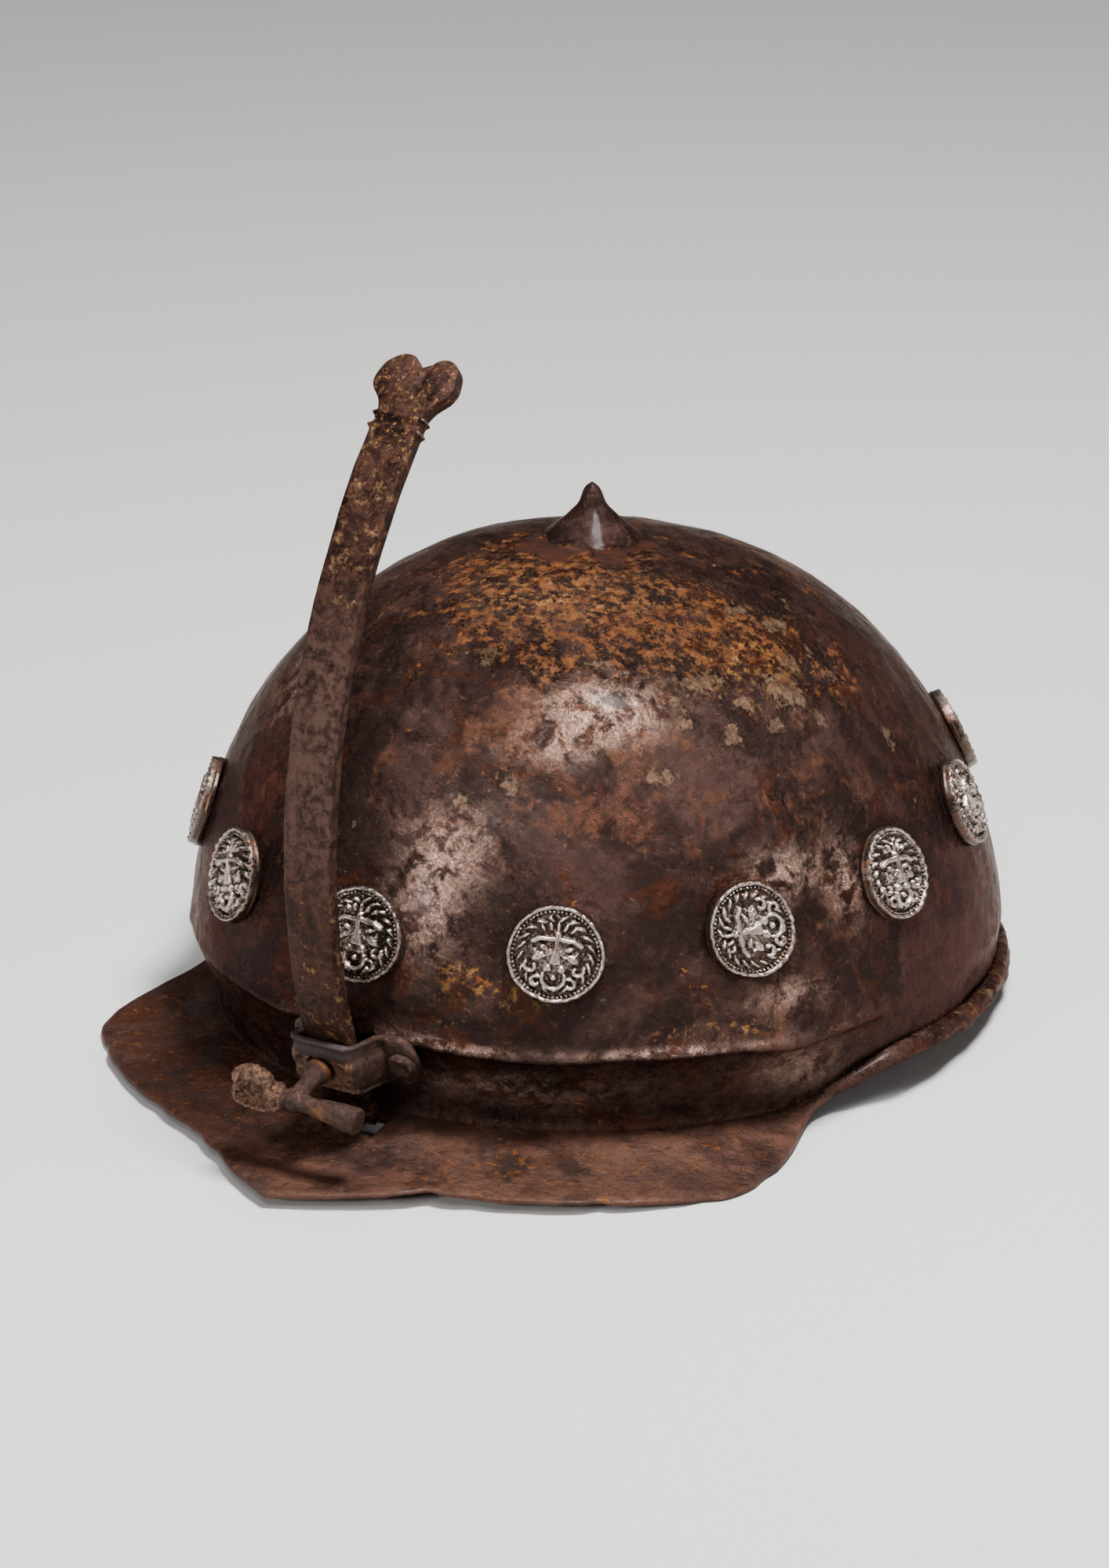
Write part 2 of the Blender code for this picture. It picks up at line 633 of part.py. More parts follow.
def bar_vertices():
    """Front and back face of the bar on a grid, bent round its centre, with a heart-shaped finial."""
    rows = bar_rows()
    count = len(BAR_COLUMNS)
    faces_points = []
    for front in (True, False):
        for distance, half, rise in rows:
            for column in BAR_COLUMNS:
                along = distance
                swell = 0.0
                if rise is not None:
                    along += FINIAL_HEIGHT * rise * (1 + (column["top"] - 1) * rise)
                    swell = FINIAL_SWELL * column["swell"] * math.sin(math.pi * min(rise, FINIAL_SWELL_END))
                collar = (half - BAR_WIDTH / 2) * COLLAR_SWELL if rise is None else 0.0
                radius = BAR_RADIUS + swell + collar if front else BAR_RADIUS - BAR_THICKNESS - swell
                angle = along / BAR_RADIUS
                x = half * column["across"]
                faces_points.append((x, -radius * math.cos(angle), radius * math.sin(angle)))
    faces = []
    total = len(rows) * count
    for r in range(len(rows) - 1):
        for c in range(count - 1):
            a = r * count + c
            faces.append((a, a + 1, a + 1 + count, a + count))
            faces.append((total + a, total + a + count, total + a + 1 + count, total + a + 1))
        left, right = r * count, r * count + count - 1
        faces.append((left, left + count, total + left + count, total + left))
        faces.append((right, total + right, total + right + count, right + count))
    top = (len(rows) - 1) * count
    for c in range(count - 1):
        faces.append((c, total + c, total + c + 1, c + 1))
        faces.append((top + c, top + c + 1, total + top + c + 1, total + top + c))
    return faces_points, faces


def screw_profile():
    """Neck and shank of the thumb screw along its axis, 0 at the staple's outer face, out being up."""
    tip = -(STAPLE_PLAY + STAPLE_STRAP) + 2 * CLEARANCE
    outside = [(row["radius"] * row["share"], WING_DISTANCE * row["out"]) for row in SCREW_ROWS]
    return outside + [
        (SCREW_COLLAR_RADIUS * SCREW_COLLAR_FOOT, CLEARANCE),
        (SCREW_RADIUS, CLEARANCE),
        (SCREW_RADIUS, tip + SCREW_TIP_LENGTH),
        (SCREW_RADIUS * SCREW_TIP, tip),
    ]


def screw_place():
    """The screw's frame: Z along its axis, origin where that leaves the staple's outer face."""
    turn = Matrix.Rotation(-WING_TURN, 4, "Z")
    return staple_matrix() @ Matrix.Translation((0, 0, STAPLE_PLAY + STAPLE_STRAP)) @ turn


def make_screw(material, parent):
    """Shank and collar with a rod-shaped wing to the wearer's left and a leaf-shaped one to the right."""
    place = screw_place()
    vertices, faces = turned(screw_profile(), ROUND_SIDES)
    piece = make_piece("thumb_screw", vertices, faces, material, parent, place)
    profile = [(WING_ROD_RADIUS * row["radius"], WING_REACH * row["reach"]) for row in ROD_ROWS]
    vertices, faces = turned(profile, WING_ROD_SIDES)
    to_side = Matrix.Rotation(math.pi / 2, 4, "Y")
    out = Matrix.Translation((0, 0, WING_DISTANCE))
    combine(piece, "UNION", "wing_rod", vertices, faces, place @ out @ to_side)
    leaf = []
    centre = -WING_REACH * LEAF_CENTRE
    for row in LEAF_ROWS:
        for i in range(WING_LEAF_SIDES):
            a = 2 * math.pi * i / WING_LEAF_SIDES
            x = centre + WING_REACH * LEAF_HALF_LENGTH * row["outline"] * math.cos(a)
            y = WING_LEAF_HEIGHT / 2 * row["outline"] * math.sin(a)
            leaf.append((x, y, WING_LEAF_THICKNESS * row["level"]))
    leaf += [(centre, 0, -WING_LEAF_THICKNESS / 2), (centre, 0, WING_LEAF_THICKNESS / 2)]
    combine(piece, "UNION", "wing_leaf", leaf, ring_faces(len(LEAF_ROWS), WING_LEAF_SIDES), place @ out)
    vertices, faces = box(WING_REACH * WEB_HALF_LENGTH, WING_ROD_RADIUS * 0.55, WING_ROD_RADIUS * ROD_WAIST)
    web_place = place @ out @ Matrix.Translation((-WING_REACH * WEB_CENTRE, 0, 0))
    combine(piece, "UNION", "wing_web", vertices, faces, web_place)


def mask_height(x, y):
    """Relief over the medallion's field: soft round forms added up, as a share of the relief."""
    total = 0.0
    for form in MASK_FORMS:
        dx = (x - form["x"]) / form["wide"]
        dy = (y - form["y"]) / form["tall"]
        total += form["height"] * math.exp(-dx * dx - dy * dy)
    return total


def medallion_height(share, angle, turn):
    """Height over the medallion's back: a raised rim, a groove inside it and the mask."""
    x = share * math.cos(angle - turn)
    y = share * math.sin(angle - turn)
    height = mask_height(x, y) * (share < 1 - 2 * RIM_SHARE)
    if share > 1 - 1.5 * RIM_SHARE:
        height = RIM_HEIGHT
    if share >= 1:
        height = RIM_EDGE_HEIGHT
    return MEDALLION_THICKNESS + MEDALLION_RELIEF * min(height, 1.0)


def medallion_places():
    """Angles round the crown at even spacing along the ring that the medallions lie on."""
    angles = [2 * math.pi * i / RING_SAMPLES for i in range(RING_SAMPLES + 1)]
    ring = np.array([tuple(crown_point(a, medallion_ring_height(a))) for a in angles])
    along = np.concatenate([[0], np.cumsum(np.linalg.norm(np.diff(ring, axis=0), axis=1))])
    targets = np.arange(MEDALLION_COUNT) * along[-1] / MEDALLION_COUNT
    return [float(a) for a in np.interp(targets, along, angles)]


def medallion_ring_height(angle):
    """The ring of medallions rises towards the back."""
    return MEDALLION_FRONT_HEIGHT + MEDALLION_BACK_RISE * (1 - math.cos(angle)) / 2


def medallion_mesh(angle, turn):
    """A disc laid on the crown: back and face follow its curve, a clearance off it."""
    radius = MEDALLION_DIAMETER / 2
    z = medallion_ring_height(angle)
    _, round_, up, _ = crown_frame(angle, z)

    def lay(u, v, height):
        a = angle + u / round_.length
        h = z + v / up.length
        point, _, _, out = crown_frame(a, h)
        return tuple(point + out * (CLEARANCE + height))

    vertices = []
    for share in MEDALLION_RINGS + (1.0,):
        back = len(vertices) >= len(MEDALLION_RINGS) * MEDALLION_SIDES
        for i in range(MEDALLION_SIDES):
            a = 2 * math.pi * i / MEDALLION_SIDES
            height = 0.0 if back else medallion_height(share, a, turn)
            vertices.append(lay(radius * share * math.cos(a), radius * share * math.sin(a), height))
    vertices.append(lay(0, 0, medallion_height(0, 0, turn)))
    vertices.append(lay(0, 0, 0.0))
    return vertices, ring_faces(len(MEDALLION_RINGS) + 1, MEDALLION_SIDES)


def make_skull(material):
    """The skull under the empty that lays the helmet down with its box centred over the origin."""
    vertices, rows = skull_vertices()
    tilt, floor = settle(vertices)
    vertices = worn_flat(vertices, tilt, floor)
    rest = bpy.data.objects.new("helmet_rest", None)
    bpy.context.scene.collection.objects.link(rest)
    turn = Matrix.Rotation(tilt, 4, "X")
    depth = [(turn @ Vector(v)).y for v in vertices]
    rest.matrix_local = Matrix.Translation((0, -(min(depth) + max(depth)) / 2, -floor)) @ turn
    make_piece("skull", vertices, ring_faces(rows, COLUMNS), material, rest)
    return rest


def cut_slot(skull):
    """The slot in the peak that the bar slides down through, with its play at the sides and the ends."""
    _, drop = peak_size(0.0)
    first_drop = drop * PEAK_ROWS[1]["drop"]
    outer_y = bar_depth_at(0.0, BAR_RADIUS) - SLOT_END_PLAY
    inner_y = bar_depth_at(-first_drop - PEAK_THICKNESS, BAR_RADIUS - BAR_THICKNESS) + SLOT_END_PLAY
    top, bottom = PEAK_THICKNESS, -drop - 2 * PEAK_THICKNESS
    tool = box(BAR_WIDTH / 2 + SLOT_SIDE_PLAY, (inner_y - outer_y) / 2, (top - bottom) / 2)
    place = Matrix.Translation((0, (outer_y + inner_y) / 2, (top + bottom) / 2))
    combine(skull, "DIFFERENCE", "peak_slot", *tool, place)


def make_rivet(side, name, staple, skull, material):
    """A rivet with its holes through the staple's foot and the skull's wall."""
    place = rivet_matrix(side)
    radius = RIVET_SHANK_RADIUS + CLEARANCE
    drill = turned([(radius, WALL), (radius, -STAPLE_STRAP - 3 * WALL)], ROUND_SIDES)
    combine(staple, "DIFFERENCE", "rivet_hole_" + name, *drill, place)
    combine(skull, "DIFFERENCE", "rivet_bore_" + name, *drill, place)
    make_piece("rivet_" + name, *turned(rivet_profile(), ROUND_SIDES), material, skull.parent, place)


def main():
    clear_scene()
    finish = {name: make_finish(name) for name in FINISHES}
    rest = make_skull(finish["steel"])
    skull = bpy.data.objects["skull"]
    cut_slot(skull)
    staple = make_piece("staple", *staple_vertices(), finish["fitting"], rest, staple_matrix())
    hole = [(SCREW_RADIUS + CLEARANCE, STAPLE_STRAP), (SCREW_RADIUS + CLEARANCE, -2 * STAPLE_STRAP)]
    combine(staple, "DIFFERENCE", "screw_hole", *turned(hole, ROUND_SIDES), screw_place())
    for side, name in ((1, "left"), (-1, "right")):
        make_rivet(side, name, staple, skull, finish["fitting"])
    bar_place = Matrix.Translation((0, BAR_CENTRE_Y, BAR_CENTRE_Z))
    make_piece("nasal_bar", *bar_vertices(), finish["nasal_steel"], rest, bar_place)
    make_screw(finish["fitting"], rest)
    for index, angle in enumerate(medallion_places()):
        shape = medallion_mesh(angle, math.radians(MEDALLION_TURNS[index]))
        make_piece(f"medallion_{index + 1:02d}", *shape, finish["white_metal"], rest)


main()
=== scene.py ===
"""Looks of the hussar helmet: forged skull, nasal bar, staple, thumb screw, rivets and mask medallions.

Metres, +Z up.  Shapes are worked out in the helmet's own frame (Z through the apex, the front -Y, height 0
at the crease where the peak leaves the skull) and laid down by the tilt that the frame's joints give.
"""
import itertools
import json
import math

import bpy
import numpy as np
from mathutils import Matrix, Vector


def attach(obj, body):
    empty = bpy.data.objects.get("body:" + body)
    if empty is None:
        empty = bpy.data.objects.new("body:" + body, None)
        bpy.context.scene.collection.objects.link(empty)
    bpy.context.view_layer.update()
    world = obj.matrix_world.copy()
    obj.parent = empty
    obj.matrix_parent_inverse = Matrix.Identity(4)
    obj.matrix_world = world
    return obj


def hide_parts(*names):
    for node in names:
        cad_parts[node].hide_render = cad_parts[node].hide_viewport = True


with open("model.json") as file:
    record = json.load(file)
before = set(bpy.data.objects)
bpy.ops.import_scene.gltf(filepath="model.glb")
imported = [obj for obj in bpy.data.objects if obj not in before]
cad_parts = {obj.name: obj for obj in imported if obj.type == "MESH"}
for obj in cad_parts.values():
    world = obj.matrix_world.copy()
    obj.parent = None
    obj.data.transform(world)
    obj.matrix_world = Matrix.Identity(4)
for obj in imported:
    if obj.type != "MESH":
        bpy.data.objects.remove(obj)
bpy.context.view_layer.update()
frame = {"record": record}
MM = 0.001

# Skull, as in the frame: outside at the brow ridge, crown over it, band under it
HALF_LENGTH = 117.0 * MM
HALF_WIDTH = 103.1 * MM
CROWN_RISE = 102.2 * MM
CROWN_FLARE = 0.161
CROWN_TOP_POWER = 2.395
CROWN_SIDE_POWER = 2.284
CROWN_LEAN = 13.0 * MM
WALL = 2.0 * MM
BAND_HEIGHT = 21.8 * MM
BAND_INSET = 7.0 * MM
CROWN_HEIGHT = BAND_HEIGHT + CROWN_RISE
SPIKE_HEIGHT = 14.5 * MM
SPIKE_FOOT_RADIUS = 13.0 * MM
RIDGE_BEAD_WIDTH = 1.2 * MM
RIDGE_BEAD_RISE = 1.2 * MM
RIDGE_WANDER = 0.5 * MM
RIDGE_HOLLOW_ABOVE = 5.5 * MM
RIDGE_HOLLOW_WIDTH = 3.2 * MM
RIDGE_HOLLOW_DEPTH = 0.55 * MM

# Peak and rolled edge
PEAK_REACH = 31.7 * MM
PEAK_POINT = 15.8 * MM
PEAK_POINT_DROP = 1.5 * MM
PEAK_POINT_ANGLE = math.radians(15)
PEAK_DROP = 5.8 * MM
PEAK_FULL_ANGLE = math.radians(45)
PEAK_END_ANGLE = math.radians(70)
PEAK_THICKNESS = 2.0 * MM
ROLL_RADIUS = 2.9 * MM
ROLL_HEIGHT = 9.0 * MM
ROLL_STAND_OFF = 0.6 * MM
ROLL_START_ANGLE = math.radians(60)
ROLL_FULL_ANGLE = math.radians(80)

# Nasal bar and its slot
STAPLE_ANGLE = math.radians(-23.4)
STAPLE_BELOW_RIDGE = 3.3 * MM
BAR_RADIUS = 147.6 * MM
BAR_STAND_OFF = 11.0 * MM
BAR_WIDTH = 13.0 * MM
BAR_THICKNESS = 4.0 * MM
BAR_LENGTH = 184.2 * MM
BAR_FOOT_LENGTH = 23.0 * MM
RIDGE_FRONT_Y = CROWN_LEAN * (1 - BAND_HEIGHT / CROWN_HEIGHT) - HALF_LENGTH
BAR_CENTRE_Y = RIDGE_FRONT_Y - BAR_STAND_OFF + BAR_RADIUS * math.cos(STAPLE_ANGLE)
BAR_CENTRE_Z = BAND_HEIGHT - STAPLE_BELOW_RIDGE - BAR_RADIUS * math.sin(STAPLE_ANGLE)
COLLAR_LENGTH = 5.5 * MM
COLLAR_WIDTH = 14.8 * MM
FINIAL_HEIGHT = 15.8 * MM
FINIAL_WIDTH = 22.2 * MM
SLOT_PLAY = 0.7 * MM
BAR_ROUNDING = 0.55 * MM

# Staple, rivets and thumb screw
STAPLE_HEIGHT = 14.6 * MM
STAPLE_STRAP = 2.2 * MM
STAPLE_WIDTH = 19.0 * MM
STAPLE_CORNER = 3.5 * MM
STAPLE_PLAY = 1.2 * MM
STAPLE_FOOT = 8.6 * MM
STAPLE_FOOT_DROP = 1.0 * MM
STAPLE_ROUNDING = 0.8 * MM
STAPLE_SEAT_HALF = 22 * MM
LOBE_HALF_WIDTH = 5.4 * MM
LOBE_HALF_LENGTH = 6.7 * MM
LOBE_RISE = 1.9 * MM
LOBE_SHIFT = 0.9 * MM
LOBE_SINK = 0.5 * MM
SCREW_BORE_RADIUS = 2.8 * MM
SCREW_SEAT_RADIUS = 4.0 * MM
CLEARANCE = 0.3 * MM
RIVET_PLACE = 0.50
RIVET_SHANK_RADIUS = 1.4 * MM
RIVET_HEAD_RADIUS = 3.7 * MM
RIVET_HEAD_HEIGHT = 2.1 * MM
WING_DISTANCE = 12.5 * MM
WING_REACH = 18.0 * MM
WING_LEAF_HEIGHT = 12.0 * MM
WING_LEAF_THICKNESS = 5.6 * MM
WING_TURN = math.radians(6)

# Medallions
MEDALLION_COUNT = 13
MEDALLION_RADIUS = 12.0 * MM
MEDALLION_THICKNESS = 1.6 * MM
MEDALLION_RELIEF = 2.2 * MM
MEDALLION_FRONT_HEIGHT = 46.2 * MM
MEDALLION_BACK_RISE = 20.0 * MM
MEDALLION_TURNS = (0, -6, 95, -5, 40, -20, 85, 180, -70, 15, 100, -30, 20)

# How fine the grids are
SKULL_COLUMNS = 400
SPIKE_ROWS = 18
CROWN_ROWS = 80
RIDGE_ROWS = 16
INSIDE_ROWS = 34
MEDALLION_RINGS = 54
MEDALLION_SECTORS = 176
BORE_SIDES = 32
FUSE_VOXEL = 0.3 * MM

# Camera: the photograph's angle to the resting helmet
CAMERA_AZIMUTH = math.radians(31.297)
CAMERA_ELEVATION = math.radians(21.719)
CAMERA_DISTANCE = 1.22895
CAMERA_TARGET = Vector((-0.015201, 0.020101, 0.052347))
CAMERA_LENS = 106.81
LIT_POINT = Vector((0, 0, 0.08))
FLOOR_REACH = 6.0

# The helmet lies as the frame's joints say: how far it tips back, and where its own origin lies
JOINTS = {joint["name"]: joint for joint in frame["record"]["behaviour"]["joints"]}
SCREW_AXIS = Vector(JOINTS["thumb_screw_turn"]["axis"])
TILT = STAPLE_ANGLE - math.atan2(SCREW_AXIS.z, -SCREW_AXIS.y)
LAY = Matrix.Rotation(TILT, 4, "X")
BAR_CENTRE = Vector((0, BAR_CENTRE_Y, BAR_CENTRE_Z))
LAY.translation = Vector(JOINTS["nasal_slide"]["pos_m"]) - LAY.to_3x3() @ BAR_CENTRE


def table(columns, *rows):
    """Rows of a short table as dicts whose keys are the columns, named once."""
    names = columns.split()
    return [dict(zip(names, row)) for row in rows]


def laid(points, matrix=LAY):
    """Points carried by a matrix: rotation times point plus shift, for a whole array."""
    turn = np.array(matrix.to_3x3())
    return points @ turn.T + np.array(matrix.translation)


def smooth(value, start, end):
    """0 before start, 1 after end, and 3t^2 - 2t^3 between them."""
    t = np.clip((value - start) / (end - start), 0, 1)
    return t * t * (3 - 2 * t)


def bell(value, centre, wide):
    """exp of minus the squared distance to the centre in units of the width."""
    return np.exp(-((value - centre) / wide) ** 2)


def lattice_noise(points, cell, seed):
    """Smooth noise from -1 to 1: random lattice values blended on each axis by 6t^5 - 15t^4 + 10t^3."""
    size = 48
    table = np.random.default_rng(seed).uniform(-1, 1, (size, size, size))
    scaled = points / cell
    low = np.floor(scaled).astype(int)
    part = scaled - low
    part = part ** 3 * (part * (part * 6 - 15) + 10)
    total = np.zeros(points.shape[:-1])
    for corner in itertools.product((0, 1), repeat=3):
        weight = np.prod(np.where(corner, part, 1 - part), axis=-1)
        index = (low + np.array(corner)) % size
        total += weight * table[index[..., 0], index[..., 1], index[..., 2]]
    return total


def layered_noise(points, cell, layers, seed):
    """Lattice noise added up, each layer at half the last one's cell and height."""
    return sum(lattice_noise(points, cell / 2 ** n, seed + n) / 2 ** n for n in range(layers))


def spline_rows(control, counts):
    """Rows on a Catmull-Rom curve through the control rows, so many to each stretch, with straight ends."""
    before = np.concatenate([[2 * control[0] - control[1]], control[:-1]])
    after = np.concatenate([control[1:], [2 * control[-1] - control[-2]]])
    rows = []
    for k, count in enumerate(counts):
        p0, p1, p2 = before[k], control[k], control[k + 1]
        p3 = after[k + 1]
        for t in np.arange(count) / count:
            curve = 2 * p1 + (p2 - p0) * t + (2 * p0 - 5 * p1 + 4 * p2 - p3) * t ** 2
            rows.append((curve + (3 * p1 - p0 - 3 * p2 + p3) * t ** 3) / 2)
    rows.append(control[-1])
    return np.array(rows)


def spline_value(at, xs, ys):
    """A table read along a cubic curve whose slopes are the table's central differences."""
    xs, ys = np.asarray(xs, float), np.asarray(ys, float)
    slope = np.gradient(ys, xs)
    at = np.clip(at, xs[0], xs[-1])
    k = np.clip(np.searchsorted(xs, at) - 1, 0, len(xs) - 2)
    h = xs[k + 1] - xs[k]
    t = (at - xs[k]) / h
    a, b = (1 + 2 * t) * (1 - t) ** 2, t * (1 - t) ** 2
    c, d = t * t * (3 - 2 * t), t * t * (t - 1)
    return a * ys[k] + b * h * slope[k] + c * ys[k + 1] + d * h * slope[k + 1]


def grid_normals(grid):
    """Unit normals of a grid of points: the cross product of its column and row differences."""
    across = np.roll(grid, -1, axis=1) - np.roll(grid, 1, axis=1)
    along = np.gradient(grid, axis=0)
    normal = np.cross(across, along)
    return normal / np.maximum(np.linalg.norm(normal, axis=-1, keepdims=True), 1e-12)


def loop_faces(rows, columns):
    """Quads between closed rings of points, as an array of indices."""
    r = np.arange(rows - 1)[:, None] * columns
    c = np.arange(columns)[None, :]
    n = (c + 1) % columns
    quads = np.stack([r + c, r + n, r + n + columns, r + c + columns], axis=-1)
    return quads.reshape(-1, 4)


def ring_points(radius, around, height):
    """Points of rings about Z: x = radius cos a, y = radius sin a."""
    return np.stack(np.broadcast_arrays(radius * np.cos(around), radius * np.sin(around), height), -1)


def add_mesh(name, points, faces):
    """A mesh object at the origin from arrays, its faces turned where they enclose a negative volume."""
    mesh = bpy.data.meshes.new(name)
    mesh.from_pydata(points.tolist(), [], faces)
    mesh.validate()
    triangles = np.array([(f[0], f[i], f[i + 1]) for f in faces for i in range(1, len(f) - 1)])
    corner = points[triangles]
    volume = np.einsum("ij,ij->i", corner[:, 0], np.cross(corner[:, 1], corner[:, 2])).sum()
    if volume < 0:
        mesh.flip_normals()
    mesh.shade_smooth()
    piece = bpy.data.objects.new(name, mesh)
    bpy.context.scene.collection.objects.link(piece)
    return piece


def closed_rings(name, grid, matrix=LAY, poles=None):
    """A closed skin over rings of points with a fan at each end, to its ring's middle or a given pole."""
    rows, columns = grid.shape[:2]
    if poles is None:
        poles = (grid[0].mean(0), grid[-1].mean(0))
    points = np.concatenate([grid.reshape(-1, 3), poles])
    faces = loop_faces(rows, columns).tolist()
    pole = rows * columns
    last = (rows - 1) * columns
    faces += [(pole, (c + 1) % columns, c) for c in range(columns)]
    faces += [(pole + 1, last + c, last + (c + 1) % columns) for c in range(columns)]
    return add_mesh(name, laid(points, matrix), faces)


def slab(name, front, back, matrix=LAY):
    """A closed body between a front and a back grid of the same size, edged with one strip all round."""
    rows, columns = front.shape[:2]
    total = rows * columns
    points = np.concatenate([front.reshape(-1, 3), back.reshape(-1, 3)])
    index = np.arange(total).reshape(rows, columns)
    quads = np.stack([index[:-1, :-1], index[:-1, 1:], index[1:, 1:], index[1:, :-1]], -1).reshape(-1, 4)
    faces = quads.tolist() + (quads[:, ::-1] + total).tolist()
    rim = np.concatenate([index[0, :-1], index[:-1, -1], index[-1, :0:-1], index[:0:-1, 0]])
    after = np.roll(rim, -1)
    faces += np.stack([rim, rim + total, after + total, after], -1).tolist()
    return add_mesh(name, laid(points, matrix), faces)


def read_points(piece):
    """The piece's vertices as an array."""
    points = np.empty(len(piece.data.vertices) * 3)
    piece.data.vertices.foreach_get("co", points)
    return points.reshape(-1, 3)


def read_normals(piece):
    """The normals at the piece's vertices as an array."""
    normals = np.empty(len(piece.data.vertices) * 3)
    piece.data.vertex_normals.foreach_get("vector", normals)
    return normals.reshape(-1, 3)


def read_edges(piece):
    """The piece's edges as an array of vertex pairs."""
    pairs = np.empty(len(piece.data.edges) * 2, int)
    piece.data.edges.foreach_get("vertices", pairs)
    return pairs.reshape(-1, 2)


def raise_skin(piece, height):
    """Move a piece's vertices along their normals by a height each."""
    moved = read_points(piece) + read_normals(piece) * height[:, None]
    piece.data.vertices.foreach_set("co", moved.ravel())
    piece.data.update()


def spread(values, pairs, passes):
    """Values evened out along the edges: each pass takes the mean of a vertex and its neighbours."""
    count = len(values)
    degree = np.bincount(pairs.ravel(), minlength=count).astype(float)
    for _ in range(passes):
        total = np.bincount(pairs[:, 0], values[pairs[:, 1]], count)
        total = total + np.bincount(pairs[:, 1], values[pairs[:, 0]], count)
        values = (values + total / np.maximum(degree, 1)) / 2
    return values


def measure_wear(piece, passes, gain):
    """Store how proud or hollow the surface is: the mean slope up to a vertex from its neighbours."""
    points, normals = read_points(piece), read_normals(piece)
    count = len(points)
    pairs = read_edges(piece)
    away = points[pairs[:, 0]] - points[pairs[:, 1]]
    length = np.maximum(np.linalg.norm(away, axis=1), 1e-9)
    first = np.einsum("ij,ij->i", away, normals[pairs[:, 0]]) / length
    second = -np.einsum("ij,ij->i", away, normals[pairs[:, 1]]) / length
    total = np.bincount(pairs[:, 0], first, count) + np.bincount(pairs[:, 1], second, count)
    degree = np.maximum(np.bincount(pairs.ravel(), minlength=count), 1)
    proud = spread(total / degree, pairs, passes) * gain
    store(piece, "worn", np.clip(proud, 0, 1))
    store(piece, "hollow", np.clip(-proud, 0, 1))


def store(piece, name, values):
    """One number a vertex, kept as an attribute that the finishes read."""
    attribute = piece.data.attributes.get(name) or piece.data.attributes.new(name, "FLOAT", "POINT")
    attribute.data.foreach_set("value", np.asarray(values, np.float32))


def unlaid(points):
    """World points taken back into the helmet's own frame."""
    return laid(points, LAY.inverted())


def centre_y(z):
    """The skull's sections move forward as they rise: lean times what is left of the height."""
    return CROWN_LEAN * (1 - z / CROWN_HEIGHT)


def crown_share(z):
    """Share of the ridge's radius at a height: (1 - t^p)^(1/q), pulled in evenly towards the top."""
    t = np.clip((z - BAND_HEIGHT) / CROWN_RISE, 0, 1)
    rounding = (1 - t ** CROWN_TOP_POWER) ** (1 / CROWN_SIDE_POWER)
    return rounding * (1 + CROWN_FLARE * (1 - t)) / (1 + CROWN_FLARE)


def oval(angle, z, share, offset=0.0):
    """Points of the skull's oval: half width or length times share plus offset, times sin a or cos a."""
    x = (HALF_WIDTH * share + offset) * np.sin(angle)
    y = centre_y(z) - (HALF_LENGTH * share + offset) * np.cos(angle)
    return np.stack(np.broadcast_arrays(x, y, z), axis=-1)


def crown(angle, z):
    """Points of the crown's outside."""
    return oval(angle, z, crown_share(z))


def crown_out(angle, z):
    """Unit normals of the crown: the cross product of its slopes round and up."""
    step = 0.1 * MM
    z = np.minimum(z, CROWN_HEIGHT - 2 * step)
    round_ = crown(angle + step, z) - crown(angle - step, z)
    up = crown(angle, z + step) - crown(angle, z - step)
    out = np.cross(round_, up)
    return out / np.linalg.norm(out, axis=-1, keepdims=True)


# Spike from its tip: radius as a share of the foot's, height as a share of the spike's
SPIKE_HEIGHTS = (0.00, 0.19, 0.34, 0.48, 0.60, 0.73, 0.88, 0.97, 1.00)
SPIKE_RADII = (1.00, 0.76, 0.56, 0.40, 0.27, 0.225, 0.16, 0.09, 0.00)

# Band under the ridge: share of its height left and of its inset reached, where the ridge is crisp,
# on the wearer's right brow, where it runs out softly, and at the nape
BAND_ROWS = table(
    "height inset soft_height soft_inset nape_height nape_inset",
    (0.95, 0.06, 0.90, 0.10, 0.95, 0.02),
    (0.82, 0.40, 0.70, 0.32, 0.85, 0.05),
    (0.46, 0.82, 0.42, 0.62, 0.50, 0.12),
    (0.15, 0.97, 0.16, 0.86, 0.25, 0.14),
)
SOFT_START_ANGLE = math.radians(8)
SOFT_FULL_ANGLE = math.radians(28)

# Peak section out over its top, round its edge and back under it, with the direction round the nape's roll
PEAK_ROWS = table(
    "reach drop depth wall roll",
    (0.02, 0.02, 0.0, 0.0, 135),
    (0.10, 0.20, 0.0, 0.0, 90),
    (0.55, 0.85, 0.0, 0.0, 45),
    (0.985, 1.00, 0.05, 0.0, 12),
    (1.00, 1.00, 0.5, 0.0, -12),
    (0.985, 1.00, 0.95, 0.0, -45),
    (0.55, 0.85, 1.0, 0.0, -90),
    (0.10, 0.20, 1.0, 0.0, -135),
    (0.00, 0.00, 0.7, 1.0, 180),
)
LOWER_COUNTS = (2, 3, 6, 4, 3, 5, 14, 14, 3, 3, 12, 9, 4, 4, 6, 4, 2)

# Nicks in the peak's edge: angle round the front, half width and depth
PEAK_NICKS = table(
    "angle wide deep",
    (15.0, 1.1, 1.0),
    (20.0, 1.6, 0.8),
    (33.0, 0.9, 1.1),
    (44.0, 1.2, 0.7),
    (52.0, 1.4, 1.2),
    (-10.0, 1.2, 0.9),
    (-24.0, 1.8, 0.8),
    (-41.0, 1.0, 1.0),
)

